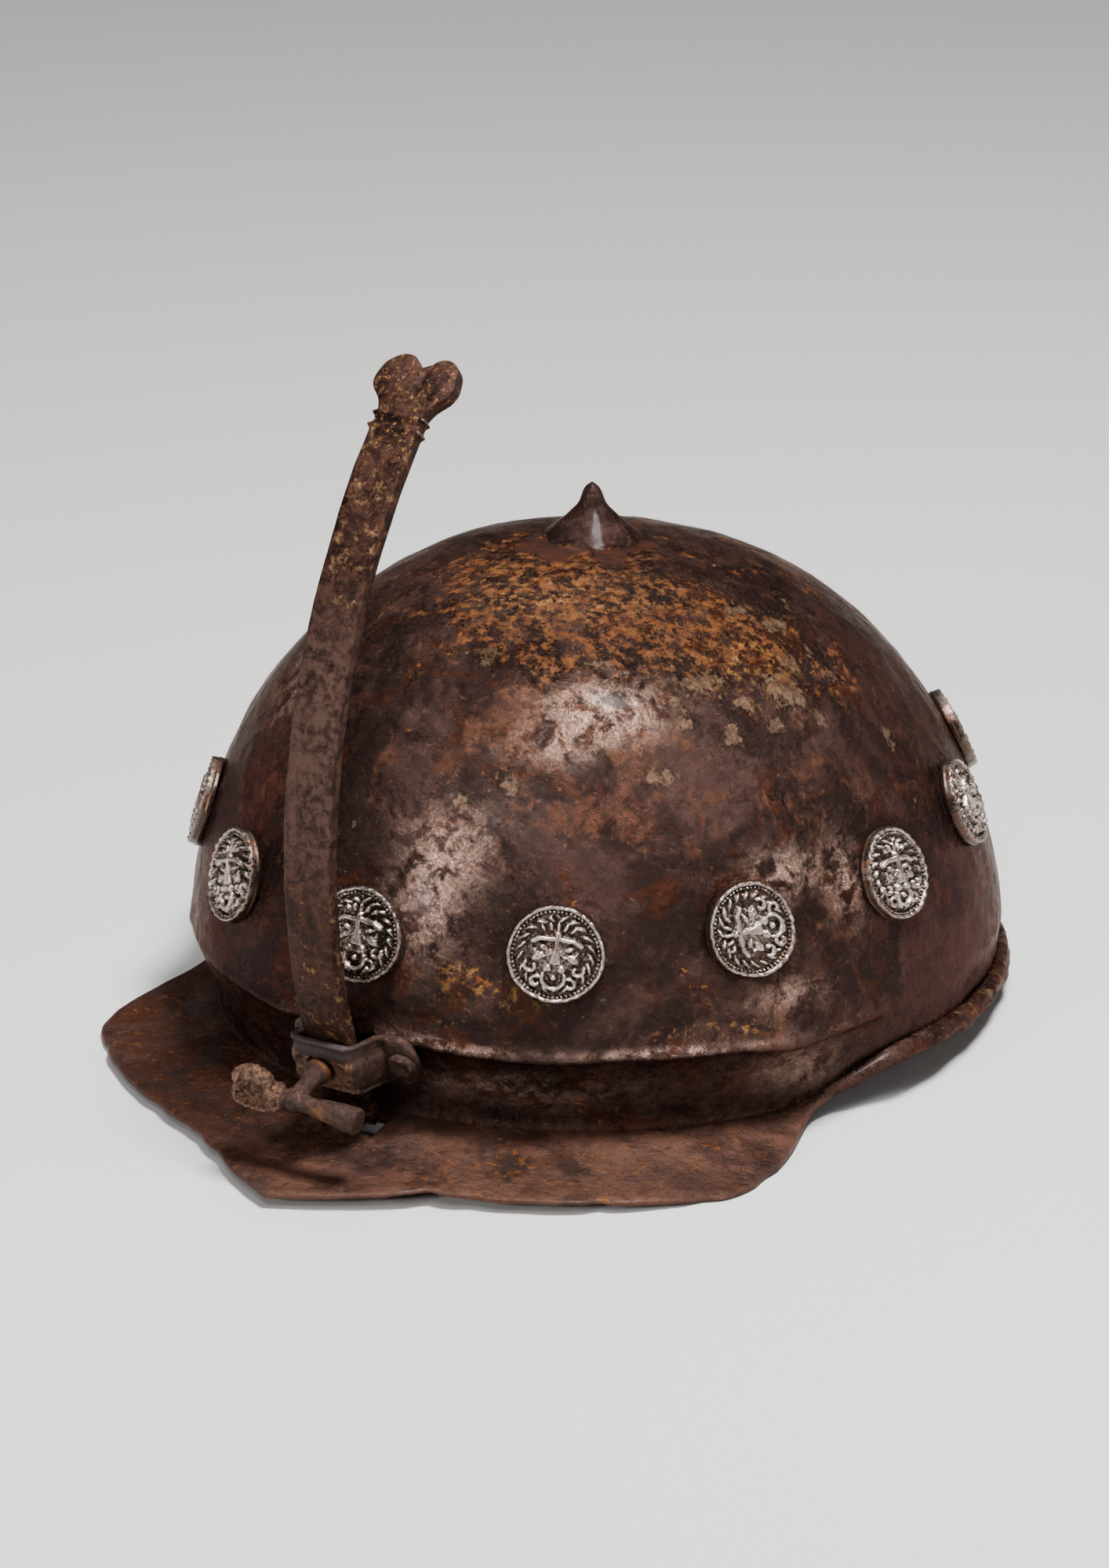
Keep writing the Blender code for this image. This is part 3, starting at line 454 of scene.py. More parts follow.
# Dents and bulges in the skull: angle, height, spread round and up, and how far out (mm)
SKULL_DENTS = table(
    "angle height wide tall out",
    (36, 101, 11, 8, 0.9),
    (28, 93, 8, 6, -0.7),
    (55, 104, 9, 6, -0.5),
    (62, 66, 8, 7, 0.9),
    (52, 58, 7, 7, -0.5),
    (13, 64, 12, 12, 0.6),
    (5, 52, 9, 10, 0.5),
    (61, 22, 12, 7, 1.3),
    (47, 37, 6, 4, -0.7),
    (54, 33, 7, 4, 0.7),
    (60, 39, 6, 5, -0.6),
    (74, 45, 9, 8, -0.8),
    (-30, 60, 12, 11, -0.7),
    (-55, 85, 12, 12, 0.8),
    (-95, 70, 16, 14, -1.0),
    (-130, 50, 14, 12, 0.8),
    (110, 80, 14, 12, -0.9),
    (150, 60, 16, 13, 0.9),
    (180, 95, 12, 12, -0.8),
)


def peak_size(angle):
    """Reach and drop: full over the brow, a straight-sided point in front, a cosine fall at the ends."""
    point = np.maximum(0, 1 - angle / PEAK_POINT_ANGLE)
    t = np.clip((angle - PEAK_FULL_ANGLE) / (PEAK_END_ANGLE - PEAK_FULL_ANGLE), 0, 1)
    full = 0.5 + 0.5 * np.cos(math.pi * t)
    return (PEAK_REACH + PEAK_POINT * point) * full, (PEAK_DROP + PEAK_POINT_DROP * point) * full


def edge_wander(angle):
    """How far the peak's edge strays in: slow noise round it and the named nicks, as bells."""
    ring = np.stack([np.sin(angle), np.cos(angle), np.zeros_like(angle)], -1)
    wander = 0.55 * MM * layered_noise(ring, 0.16, 3, 11)
    for nick in PEAK_NICKS:
        wander += nick["deep"] * MM * bell(np.degrees(angle), nick["angle"], nick["wide"])
    return wander


def lower_section(angle):
    """Control rows of (offset, height) down the band, round peak or roll and up inside, a column an angle."""
    side = np.abs(angle)
    nape = smooth(side, ROLL_START_ANGLE, ROLL_FULL_ANGLE)
    reach, drop = peak_size(side)
    reach = reach - edge_wander(angle) * (1 - nape)
    nape_fall = BAND_HEIGHT - ROLL_HEIGHT
    band = []
    soft = smooth(-angle, SOFT_START_ANGLE, SOFT_FULL_ANGLE)
    for row in BAND_ROWS:
        inset = row["inset"] + (row["soft_inset"] - row["inset"]) * soft
        height = row["height"] + (row["soft_height"] - row["height"]) * soft
        front = (-BAND_INSET * inset, BAND_HEIGHT * height)
        back = (-BAND_INSET * row["nape_inset"], ROLL_HEIGHT + nape_fall * row["nape_height"])
        band.append(np.stack([f + (b - f) * nape for f, b in zip(front, back)], -1))
    lower = []
    for row in PEAK_ROWS:
        out = -BAND_INSET + reach * row["reach"] - WALL * row["wall"]
        down = -drop * row["drop"] - PEAK_THICKNESS * row["depth"]
        turn = math.radians(row["roll"])
        roll_out = ROLL_STAND_OFF - WALL / 2 + ROLL_RADIUS * math.cos(turn)
        roll_up = ROLL_HEIGHT + ROLL_RADIUS * math.sin(turn)
        lower.append(np.stack([out + (roll_out - out) * nape, down + (roll_up - down) * nape], -1))
    ridge = np.stack([np.zeros_like(angle), np.full_like(angle, BAND_HEIGHT)], -1)
    wall = np.array([WALL, 0.0])
    return np.array([ridge] + band + lower + [row - wall for row in reversed(band)] + [ridge - wall])


def skull_dents(angle, z):
    """Displacement outwards: the named dents as bells over arc and height."""
    total = np.zeros(np.broadcast(angle, z).shape)
    for dent in SKULL_DENTS:
        turn = (np.degrees(angle) - dent["angle"] + 180) % 360 - 180
        arc = np.radians(turn) * HALF_WIDTH * np.maximum(crown_share(z), 0.2)
        rise = (z - dent["height"] * MM) / (dent["tall"] * MM)
        total += dent["out"] * MM * np.exp(-(arc / (dent["wide"] * MM)) ** 2 - rise ** 2)
    return total


def hammered(points):
    """Forged unevenness: slow waves, hammer facets as ridged noise, and fine ripple."""
    waves = 0.42 * layered_noise(points, 34 * MM, 2, 3)
    facets = 0.30 * (0.5 - np.abs(layered_noise(points, 15 * MM, 2, 21)))
    ripple = 0.10 * layered_noise(points, 5.5 * MM, 2, 31)
    return (waves + facets + ripple) * MM


def spike_rings(angle):
    """Rings down the spike: the foot's radius times the profile's share at each height."""
    share = np.linspace(0.995, 0.02, SPIKE_ROWS)
    z = CROWN_HEIGHT + SPIKE_HEIGHT * share
    radius = SPIKE_FOOT_RADIUS * spline_value(share, SPIKE_HEIGHTS, SPIKE_RADII)
    x = radius[:, None] * np.sin(angle)
    y = centre_y(z)[:, None] - radius[:, None] * np.cos(angle)
    return np.stack(np.broadcast_arrays(x, y, z[:, None]), -1)


def crown_heights(first, last, count):
    """Heights at even stations of the crown's curve, in degrees from the apex: rise times cos^(2/p)."""
    station = np.radians(np.linspace(first, last, count))
    return BAND_HEIGHT + CROWN_RISE * np.cos(station) ** (2 / CROWN_TOP_POWER)


def skull_rings(angle):
    """Rings from the spike's tip to the pole inside, and the number of the first one under the crown."""
    spike = spike_rings(angle)
    crown_z = crown_heights(6, 86, CROWN_ROWS)
    crown_z = np.concatenate([crown_z, np.linspace(crown_z[-1], BAND_HEIGHT, RIDGE_ROWS + 2)[1:-1]])
    outside = crown(angle[None, :], crown_z[:, None])
    lower = spline_rows(lower_section(angle), LOWER_COUNTS)
    lower_points = oval(angle[None, :], lower[..., 1], 1.0, lower[..., 0])
    inside_z = crown_heights(88, 5, INSIDE_ROWS)
    inside = crown(angle[None, :], inside_z[:, None])
    inside = inside - WALL * crown_out(angle[None, :], inside_z[:, None])

    grid = np.concatenate([spike, outside, lower_points, inside])
    first_lower = len(spike) + len(outside)
    soft = grid.copy()
    for _ in range(2):
        soft[1:-1] = (soft[:-2] + 2 * soft[1:-1] + soft[2:]) / 4
    start, end = first_lower - 3, first_lower + len(lower) + 2
    grid[start:end] = soft[start:end]
    grid[:8] = soft[:8]
    return grid, first_lower


def make_skull():
    """The skull: rings moved along their normals by hammer marks, dents, ridge bead and the roll's crust."""
    angle = np.linspace(-math.pi, math.pi, SKULL_COLUMNS, endpoint=False)
    grid, first_lower = skull_rings(angle)
    out = grid_normals(grid)
    if np.einsum("ij,ij->i", out[first_lower], grid[first_lower] * (1, 1, 0)).sum() < 0:
        out = -out
    inner = np.zeros(len(grid))
    inner[first_lower + sum(LOWER_COUNTS[:9]):] = 1
    outward = out * (1 - 2 * inner)[:, None, None]
    height = grid[..., 2]
    move = hammered(grid) * smooth(CROWN_HEIGHT + 9 * MM - height, 0, 9 * MM)
    dents = skull_dents(angle[None, :], height) * (height > BAND_HEIGHT * 0.6) * (1 - inner)[:, None]
    front = 1 - smooth(np.abs(angle), ROLL_START_ANGLE, ROLL_FULL_ANGLE)[None, :]
    front = front * (1 - 0.8 * smooth(-angle, SOFT_START_ANGLE, SOFT_FULL_ANGLE)[None, :])
    outer = (1 - inner)[:, None] * front
    wave = RIDGE_WANDER * lattice_noise(grid, 22 * MM, 5)
    ridge = bell(height, BAND_HEIGHT + wave, RIDGE_BEAD_WIDTH) * RIDGE_BEAD_RISE * outer
    hollow = bell(height, BAND_HEIGHT + RIDGE_HOLLOW_ABOVE, RIDGE_HOLLOW_WIDTH) * RIDGE_HOLLOW_DEPTH * outer
    on_wall = np.abs(outward[..., 2]) < 0.95
    feet = smooth(STAPLE_SEAT_HALF - np.abs(grid[..., 0]), 0, 4 * MM) * (grid[..., 1] < 0)
    feet = feet * (1 - inner)[:, None] * bell(height, BAND_HEIGHT, STAPLE_SEAT_HALF / 2)
    raised = move + dents + (ridge - hollow) * on_wall
    raised = raised - feet * np.maximum(raised, 0)
    nape = smooth(np.abs(angle), ROLL_START_ANGLE, ROLL_FULL_ANGLE)[None, :]
    roll = bell(height, ROLL_HEIGHT - ROLL_RADIUS, 2 * ROLL_RADIUS) * nape
    roll = roll * (0.45 * layered_noise(grid, 7 * MM, 2, 7) + 0.25 * lattice_noise(grid, 2.2 * MM, 8)) * MM
    grid = grid + outward * raised[..., None] + out * roll[..., None]

    tip = (0, centre_y(CROWN_HEIGHT + SPIKE_HEIGHT), CROWN_HEIGHT + SPIKE_HEIGHT)
    top_inside = (0, centre_y(CROWN_HEIGHT), CROWN_HEIGHT - WALL)
    piece = closed_rings("skull_forged", grid, poles=(tip, top_inside))
    cut_peak(piece)
    return piece


def cut_peak(piece):
    """Take the bar's slot and the two rivet bores out of the skull, and keep the result as its mesh."""
    _, drop = peak_size(np.array(0.0))
    first_drop = float(drop) * PEAK_ROWS[1]["drop"]
    outer = bar_depth_at(0.0, BAR_RADIUS) - SLOT_PLAY
    inner = bar_depth_at(-first_drop - PEAK_THICKNESS, BAR_RADIUS - BAR_THICKNESS) + SLOT_PLAY
    half_x = BAR_WIDTH / 2 + SLOT_PLAY
    corners = [(x, y, z) for z in (-12 * MM, 2 * MM) for y in (outer, inner) for x in (-half_x, half_x)]
    faces = [(0, 2, 3, 1), (4, 5, 7, 6), (0, 1, 5, 4), (2, 6, 7, 3), (0, 4, 6, 2), (1, 3, 7, 5)]
    tools = [add_mesh("slot_tool", laid(np.array(corners)), faces)]
    for side in (-1, 1):
        tools.append(bore_tool(f"skull_bore_{side}", RIVET_SHANK_RADIUS + CLEARANCE, WALL,
                               -STAPLE_STRAP - 3 * WALL, LAY @ rivet_matrix(side)))
    cut_out(piece, tools)


def bore_tool(name, radius, top, bottom, place):
    """A cylinder about Z that stands for the drill."""
    around = np.arange(BORE_SIDES) * math.tau / BORE_SIDES
    rings = ring_points(radius, around, np.array([[top], [bottom]]))
    return closed_rings(name, rings, place, ((0, 0, top), (0, 0, bottom)))


def cut_out(piece, tools):
    """Take the tools out of a piece, and keep the result as its mesh."""
    for tool in tools:
        modifier = piece.modifiers.new("cut", "BOOLEAN")
        modifier.operation = "DIFFERENCE"
        modifier.solver = "EXACT"
        modifier.object = tool
    apply_modifiers(piece)
    for tool in tools:
        bpy.data.objects.remove(tool, do_unlink=True)


def apply_modifiers(piece):
    """Keep what the modifiers make as the piece's own mesh."""
    graph = bpy.context.evaluated_depsgraph_get()
    mesh = bpy.data.meshes.new_from_object(piece.evaluated_get(graph))
    piece.modifiers.clear()
    piece.data = mesh
    mesh.shade_smooth()


def bar_depth_at(height, radius):
    """y of the bar's circle at a height under its centre: centre - sqrt(r^2 - dz^2)."""
    return BAR_CENTRE_Y - math.sqrt(radius ** 2 - (BAR_CENTRE_Z - height) ** 2)


def bar_place(x, along, radius):
    """Bent round the bar's centre: y = centre - r cos(s/R), z = centre + r sin(s/R)."""
    turn = along / BAR_RADIUS
    y = BAR_CENTRE_Y - radius * np.cos(turn)
    z = BAR_CENTRE_Z + radius * np.sin(turn)
    return np.stack(np.broadcast_arrays(x, y, z), -1)


# Finial across the bar: share of the half width, height of its outline there
FINIAL_ACROSS = (-1.00, -0.93, -0.80, -0.60, -0.40, -0.22, -0.07, 0.05, 0.22, 0.42, 0.62, 0.80, 0.93, 1.00)
FINIAL_TOP = (0.50, 0.72, 0.88, 0.99, 1.01, 0.96, 0.84, 0.80, 0.90, 0.99, 1.01, 0.95, 0.82, 0.62)
FINIAL_RISE = (0.00, 0.16, 0.42, 0.70, 0.88, 1.00)
FINIAL_SPREAD = (0.00, 0.22, 0.80, 1.00, 0.99, 0.94)


def make_bar():
    """The nasal bar: a front and a back grid up its arc, rounded at the edges, with collar and finial."""
    foot = STAPLE_ANGLE * BAR_RADIUS - BAR_FOOT_LENGTH
    across = np.sin(np.linspace(-1, 1, 41) * math.pi / 2)
    shaft = np.linspace(0, BAR_LENGTH, 238)
    collar = BAR_LENGTH + COLLAR_LENGTH * np.linspace(0, 1, 22)[1:]
    rise = np.linspace(0, 1, 44)[1:]
    along = np.concatenate([shaft, collar, np.full(len(rise), BAR_LENGTH + COLLAR_LENGTH)])
    share = np.concatenate([np.zeros(len(shaft) + len(collar)), rise])
    on_collar = np.clip((along - BAR_LENGTH) / COLLAR_LENGTH, 0, 1) * (share == 0)
    ribs = bell(on_collar, 0.2, 0.11) + bell(on_collar, 0.8, 0.11)
    half = BAR_WIDTH / 2 + (COLLAR_WIDTH - BAR_WIDTH) / 2 * ribs
    half = half + (FINIAL_WIDTH - BAR_WIDTH) / 2 * spline_value(share, FINIAL_RISE, FINIAL_SPREAD)
    wander = np.stack([along, np.zeros_like(along), np.zeros_like(along)], -1)
    left = half + 0.16 * MM * layered_noise(wander, 12 * MM, 3, 41)
    right = half + 0.16 * MM * layered_noise(wander + 0.5, 12 * MM, 3, 42)
    u = across[None, :]
    x = np.where(u < 0, left[:, None], right[:, None]) * u
    s = foot + along[:, None] + FINIAL_HEIGHT * share[:, None] * (
        1 + (spline_value(u, FINIAL_ACROSS, FINIAL_TOP) - 1) * share[:, None])
    edge = np.minimum(np.abs(half[:, None] * (1 - np.abs(u))),
                      (1 - share[:, None] ** 3) * FINIAL_HEIGHT + 0.001 * MM)
    edge = np.minimum(edge, along[:, None] + 0.1 * MM)
    drop = rounded_edge(edge, BAR_ROUNDING)
    rough = np.stack(np.broadcast_arrays(x, s, 0.0), -1)
    relief = 0.13 * MM * layered_noise(rough, 9 * MM, 3, 43)
    relief = relief + 0.30 * MM * (1 - u ** 2) + 0.45 * MM * ribs[:, None]
    lobes = finial_relief(x, s - foot - BAR_LENGTH - COLLAR_LENGTH)
    relief = relief + lobes * smooth(share, 0, 0.15)[:, None]
    relief = relief - 0.35 * MM * bell(on_collar, 0.5, 0.10)[:, None]
    front = bar_place(x, s, BAR_RADIUS - 0.25 * MM + relief - drop)
    unevenness = 0.10 * MM * layered_noise(rough + 0.3, 9 * MM, 2, 44)
    back = bar_place(x, s, BAR_RADIUS - BAR_THICKNESS + drop + unevenness)
    piece = slab("nasal_blade", front, back)
    store_by_length(piece, s, foot)
    return piece


def rounded_edge(edge, rounding):
    """How far a quarter round of that radius drops at a distance from the edge."""
    return rounding - np.sqrt(np.maximum(rounding ** 2 - np.maximum(rounding - edge, 0) ** 2, 0))


def store_by_length(piece, s, foot):
    """How far up the bar each vertex lies, from 0 at its foot to 1 at its top, and where gilding is left."""
    whole = BAR_LENGTH + COLLAR_LENGTH + FINIAL_HEIGHT
    up = ((s - foot) / whole + np.zeros((1, 41))).ravel()
    gilt = 0.20 * smooth(up, 0.88, 0.92) + 0.5 * bell(up, 0.885, 0.012) + 0.2 * smooth(up, 0.74, 0.87)
    store(piece, "along", np.concatenate([up, up]))
    store(piece, "gilt", np.concatenate([gilt, gilt]))


def finial_relief(x, rise):
    """Two lobes in low relief: a bean-shaped pad on the wearer's left lobe, wedge cuts beside the notch."""
    left = np.hypot((x + 4.6 * MM) / (6.6 * MM), (rise - 8.6 * MM) / (6.6 * MM))
    right = np.hypot((x - 6.6 * MM) / (3.9 * MM), (rise - 9.2 * MM) / (5.2 * MM))
    pads = 0.55 * MM * np.sqrt(np.clip(1 - right ** 2, 0, 1))
    pads = pads + 0.40 * MM * np.sqrt(np.clip(1 - left ** 2, 0, 1))
    groove = 0.55 * MM * bell(x - (1.9 * MM + 0.10 * (rise - 8 * MM)), 0, 0.75 * MM)
    groove = groove * smooth(rise, 3 * MM, 6 * MM)
    cuts = np.zeros_like(pads)
    for at, lean in ((-2.4 * MM, 0.10), (-0.2 * MM, 0.35)):
        line = x - at - lean * (rise - 9 * MM)
        cuts = cuts + bell(line, 0, 0.55 * MM) * bell(rise, 9.4 * MM, 2.6 * MM)
    return pads - groove - 0.40 * MM * cuts


def bar_frame():
    """Place of the staple: X across, Y up the bar, Z out of the bar's outer face."""
    y = BAR_CENTRE_Y - BAR_RADIUS * math.cos(STAPLE_ANGLE)
    z = BAR_CENTRE_Z + BAR_RADIUS * math.sin(STAPLE_ANGLE)
    out = Vector((0, -math.cos(STAPLE_ANGLE), math.sin(STAPLE_ANGLE)))
    up = Vector((0, math.sin(STAPLE_ANGLE), math.cos(STAPLE_ANGLE)))
    matrix = Matrix((up.cross(out), up, out)).transposed().to_4x4()
    matrix.translation = Vector((0, y, z))
    return matrix


def skull_depth(x):
    """How far under the bar's outer face the skull's top near the ridge lies, at a distance across."""
    z = BAND_HEIGHT * np.linspace(0.3, 1.7, 25)
    above = z >= BAND_HEIGHT
    inset = BAND_INSET * (1 - z / BAND_HEIGHT)
    a = np.where(above, HALF_LENGTH * crown_share(z), HALF_LENGTH - inset)
    b = np.where(above, HALF_WIDTH * crown_share(z), HALF_WIDTH - inset)
    y = centre_y(z) - a * np.sqrt(1 - (x / b) ** 2)
    points = np.stack([np.full_like(z, x), y, z], -1)
    return float(laid(points, bar_frame().inverted())[:, 2].max())


def skull_lean(x):
    """Slope of the skull's highest line under the bar, as an angle."""
    return math.atan((skull_depth(x + MM) - skull_depth(x - MM)) / (2 * MM))


def level_shift(depth):
    """How far down the bar a station of the staple lies: the loop's sides run back level to the skull."""
    front = STAPLE_PLAY + STAPLE_STRAP / 2
    share = (front - depth) / (front - skull_depth(STAPLE_WIDTH / 2))
    return (depth - front) * math.tan(-STAPLE_ANGLE) - STAPLE_FOOT_DROP * share


# Staple foot: distance out from the loop's side as a share of the foot, half height as a share
FOOT_ROWS = table(
    "out height",
    (1.00, 0.20),
    (0.985, 0.42),
    (0.93, 0.66),
    (0.75, 0.90),
    (0.45, 1.00),
    (0.15, 1.00),
)


def staple_path():
    """Stations of the strap's right half: x, depth, level, outward direction and half height."""
    half = STAPLE_HEIGHT / 2
    side = STAPLE_WIDTH / 2 - STAPLE_STRAP / 2
    front = STAPLE_PLAY + STAPLE_STRAP / 2
    foot = skull_depth(side) + CLEARANCE + STAPLE_STRAP / 2
    bend = STAPLE_CORNER - STAPLE_STRAP / 2
    path = []
    for row in FOOT_ROWS:
        x = side + STAPLE_STRAP / 2 + (STAPLE_FOOT - STAPLE_STRAP / 2) * row["out"]
        lean = skull_lean(x)
        depth = skull_depth(x) + (CLEARANCE + STAPLE_STRAP / 2) / math.cos(lean)
        path.append((x, depth, math.pi / 2 + lean, half * row["height"]))
    path.append((side, foot + STAPLE_STRAP * 0.8, math.radians(20), half))
    path.append((side, front - bend, 0.0, half))
    for third in (1, 2):
        turn = third * math.pi / 6
        path.append((side - bend + bend * math.cos(turn), front - bend + bend * math.sin(turn), turn, half))
    path.append((side - bend, front, math.pi / 2, half))
    return path


# Strap of the staple from its lower to its upper edge: share of the half height, swell of its front (mm)
STRAP_LEVELS = (-1.00, -0.93, -0.82, -0.68, -0.35, 0.00, 0.28, 0.40, 0.58, 0.78, 0.93, 1.00)
STRAP_SWELLS = (0.05, 0.45, -0.50, 0.40, 0.85, 1.00, 0.60, -0.05, -0.55, -0.60, -0.20, 0.05)


def make_strap():
    """The strap: its middle line runs through the stations, an outer and an inner grid lie either side."""
    right = staple_path()
    left = [(-x, depth, math.pi - turn, height) for x, depth, turn, height in right]
    stations = np.array(right + left[::-1])
    stations = spline_rows(stations, [5] * (len(stations) - 1))
    v = np.sin(np.linspace(-1, 1, 49) * math.pi / 2)[None, :]
    x, depth, turn, half = (stations[:, i, None] for i in range(4))
    level = np.array([level_shift(d) for d in depth[:, 0]])[:, None]
    end = stations[:, 0].max() - np.abs(x)
    edge = np.minimum(half * (1 - np.abs(v)), end + 0.05 * MM)
    drop = rounded_edge(edge, STAPLE_ROUNDING)
    on_front = smooth(STAPLE_WIDTH / 2 + 0.5 * MM - np.abs(x), 0, 2.5 * MM)
    seat = 1 - 0.85 * bell(np.hypot(x, half * v), 0, 4.6 * MM)
    swell = spline_value(v, STRAP_LEVELS, STRAP_SWELLS) * MM
    crack = bell(x + 6.6 * MM - 0.5 * half * v, 0, 0.5 * MM) * bell(half * v, 0.3 * MM, 3.2 * MM)
    outer = STAPLE_STRAP / 2 + swell * on_front * seat - 1.1 * MM * crack - drop
    inner = drop - STAPLE_STRAP / 2 + np.zeros_like(outer)

    def face(offset):
        return np.stack([x + np.cos(turn) * offset, level + half * v, depth + np.sin(turn) * offset], -1)

    return slab("staple_strap", face(outer), face(inner), LAY @ bar_frame())


def make_lobe(side):
    """A cast lobe over a foot: an ellipsoid whose back is cut flat where the foot meets the skull."""
    around = np.linspace(0, math.tau, 60, endpoint=False)
    rise = np.radians(np.linspace(-86, 86, 40))[:, None]
    x = LOBE_HALF_WIDTH * np.cos(rise) * np.cos(around) - side * LOBE_SHIFT
    y = LOBE_HALF_LENGTH * np.cos(rise) * np.sin(around)
    z = LOBE_RISE * np.sin(rise) - LOBE_SINK + 0 * around
    grid = np.stack([x, y, np.maximum(z, -STAPLE_STRAP)], -1)
    return closed_rings(f"staple_lobe_{side}", grid, LAY @ rivet_matrix(side))


def make_staple():
    """The staple: strap and two cast lobes fused, then crusted by noise along the normals."""
    piece = fuse("staple_forged", [make_strap(), make_lobe(-1), make_lobe(1)], FUSE_VOXEL)
    back = (LAY @ bar_frame()).inverted()
    local = laid(read_points(piece), back)
    side_edge = STAPLE_WIDTH / 2 - np.abs(local[:, 0])
    plate = smooth(side_edge, 0, 2 * MM) * smooth(3.0 * MM - local[:, 1], 0, 2 * MM)
    grain = 0.20 * plate * layered_noise(local, 1.5 * MM, 3, 51)
    grain = grain + 0.16 * layered_noise(local, 4.5 * MM, 2, 55)
    raise_skin(piece, grain * MM)
    screw_place = LAY @ screw_matrix()
    tools = [bore_tool("screw_bore", SCREW_BORE_RADIUS, 3 * MM, -2 * STAPLE_STRAP, screw_place)]
    tools.append(bore_tool("screw_seat", SCREW_SEAT_RADIUS, 3 * MM, 0.0, screw_place))
    for side in (-1, 1):
        place = LAY @ rivet_matrix(side)
        tools.append(bore_tool(f"seat_{side}", RIVET_HEAD_RADIUS + 0.1 * MM, 5 * MM, 0.1 * MM, place))
        tools.append(bore_tool(f"bore_{side}", RIVET_SHANK_RADIUS + CLEARANCE, MM, -2 * STAPLE_STRAP, place))
    cut_out(piece, tools)
    local = laid(read_points(piece), back)
    side_edge = STAPLE_WIDTH / 2 - np.abs(local[:, 0])
    store(piece, "crusty", smooth(side_edge, 0, 2 * MM) * smooth(3.4 * MM - local[:, 1], 0, 1.5 * MM))
    store(piece, "blue", smooth(local[:, 1], 2.8 * MM, 4.4 * MM) * smooth(side_edge + MM, 0, 3 * MM))
    return piece


def rivet_matrix(side):
    """A rivet's place: Z the way out of the staple's foot, origin where it meets the foot's face."""
    x = side * (STAPLE_WIDTH / 2 + STAPLE_FOOT * RIVET_PLACE)
    lean = skull_lean(x)
    depth = skull_depth(x) + (CLEARANCE + STAPLE_STRAP) / math.cos(lean)
    foot = Matrix.Translation((x, level_shift(depth), depth))
    return bar_frame() @ foot @ Matrix.Rotation(-lean, 4, "Y")


# Rivet from its middle out over the head, down the shank and over the clenched end: radius (mm), and
# height as a share of the head's top, or under the wall (mm)
RIVET_HEAD_ROWS = ((0.12, 0.72), (1.0, 0.62), (1.5, 0.70), (2.2, 1.0), (2.9, 0.98), (3.5, 0.62))
RIVET_SHANK_ROWS = ((3.65, 1.2), (3.3, 1.0), (1.45, 1.0), (1.40, 0.0))
RIVET_CLENCH_ROWS = ((1.40, 0.05), (1.45, 0.0), (2.7, 0.0), (2.8, -0.3), (2.2, -1.0), (0.1, -1.05))
RIVET_SIDES = 72


def make_rivet(side, name):
    """A rivet turned about Z: a raised ring round a dark hollow, shank and clenched end."""
    top = CLEARANCE + RIVET_HEAD_HEIGHT
    valley = 4.2 * MM * BAND_INSET / BAND_HEIGHT
    inside = -(STAPLE_STRAP + WALL + valley + 2 * CLEARANCE)
    control = [(radius * MM, share * top) for radius, share in RIVET_HEAD_ROWS]
    control += [(radius * MM, share * CLEARANCE) for radius, share in RIVET_SHANK_ROWS]
    control += [(radius * MM, inside + height * MM) for radius, height in RIVET_CLENCH_ROWS]
    rows = spline_rows(np.array(control), [4] * (len(control) - 1))
    around = np.linspace(0, math.tau, RIVET_SIDES, endpoint=False)
    radius = np.maximum(rows[:, 0, None], 0.05 * MM) * (1 + 0.04 * np.cos(2 * around + side))
    grid = ring_points(radius, around, rows[:, 1, None])
    head = smooth(grid[..., 2], CLEARANCE, CLEARANCE + 0.8 * MM)
    grid[..., 2] += 0.38 * MM * layered_noise(grid + side * 0.05, 1.8 * MM, 3, 61) * head
    return closed_rings(name, grid, LAY @ rivet_matrix(side))


def screw_matrix():
    """The screw's frame: Z along its axis from the staple's outer face."""
    turn = Matrix.Rotation(-WING_TURN, 4, "Z")
    return bar_frame() @ Matrix.Translation((0, 0, STAPLE_PLAY + STAPLE_STRAP)) @ turn


def turned(name, profile, sides, place):
    """A piece turned about Z from control points of (radius, height)."""
    rows = spline_rows(np.array(profile), [4] * (len(profile) - 1))
    around = np.linspace(0, math.tau, sides, endpoint=False)
    grid = ring_points(np.maximum(rows[:, 0, None], 0.02 * MM), around, rows[:, 1, None])
    return closed_rings(name, grid, place)


# Turned parts of the screw as radius and height (mm): the neck down to the shank, the rod and link from
# their ends in
NECK_ROWS = (
    (0.3, 15.2), (1.8, 14.8), (2.7, 13.0), (2.5, 10.0), (2.2, 7.0),
    (2.4, 5.0), (3.0, 3.6), (3.5, 2.2), (3.3, 1.0)
)
ROD_ROWS = (
    (0.2, 18.0), (2.5, 17.95), (3.3, 17.4), (3.2, 14.0), (2.9, 10.0),
    (2.5, 7.2), (2.1, 4.5), (2.2, 1.5), (0.3, 0.0)
)
LINK_ROWS = ((0.2, 7.0), (1.9, 6.6), (2.1, 3.0), (2.3, 0.0), (2.1, -4.0), (0.2, -4.6))
SHANK_RADIUS = 2.4 * MM


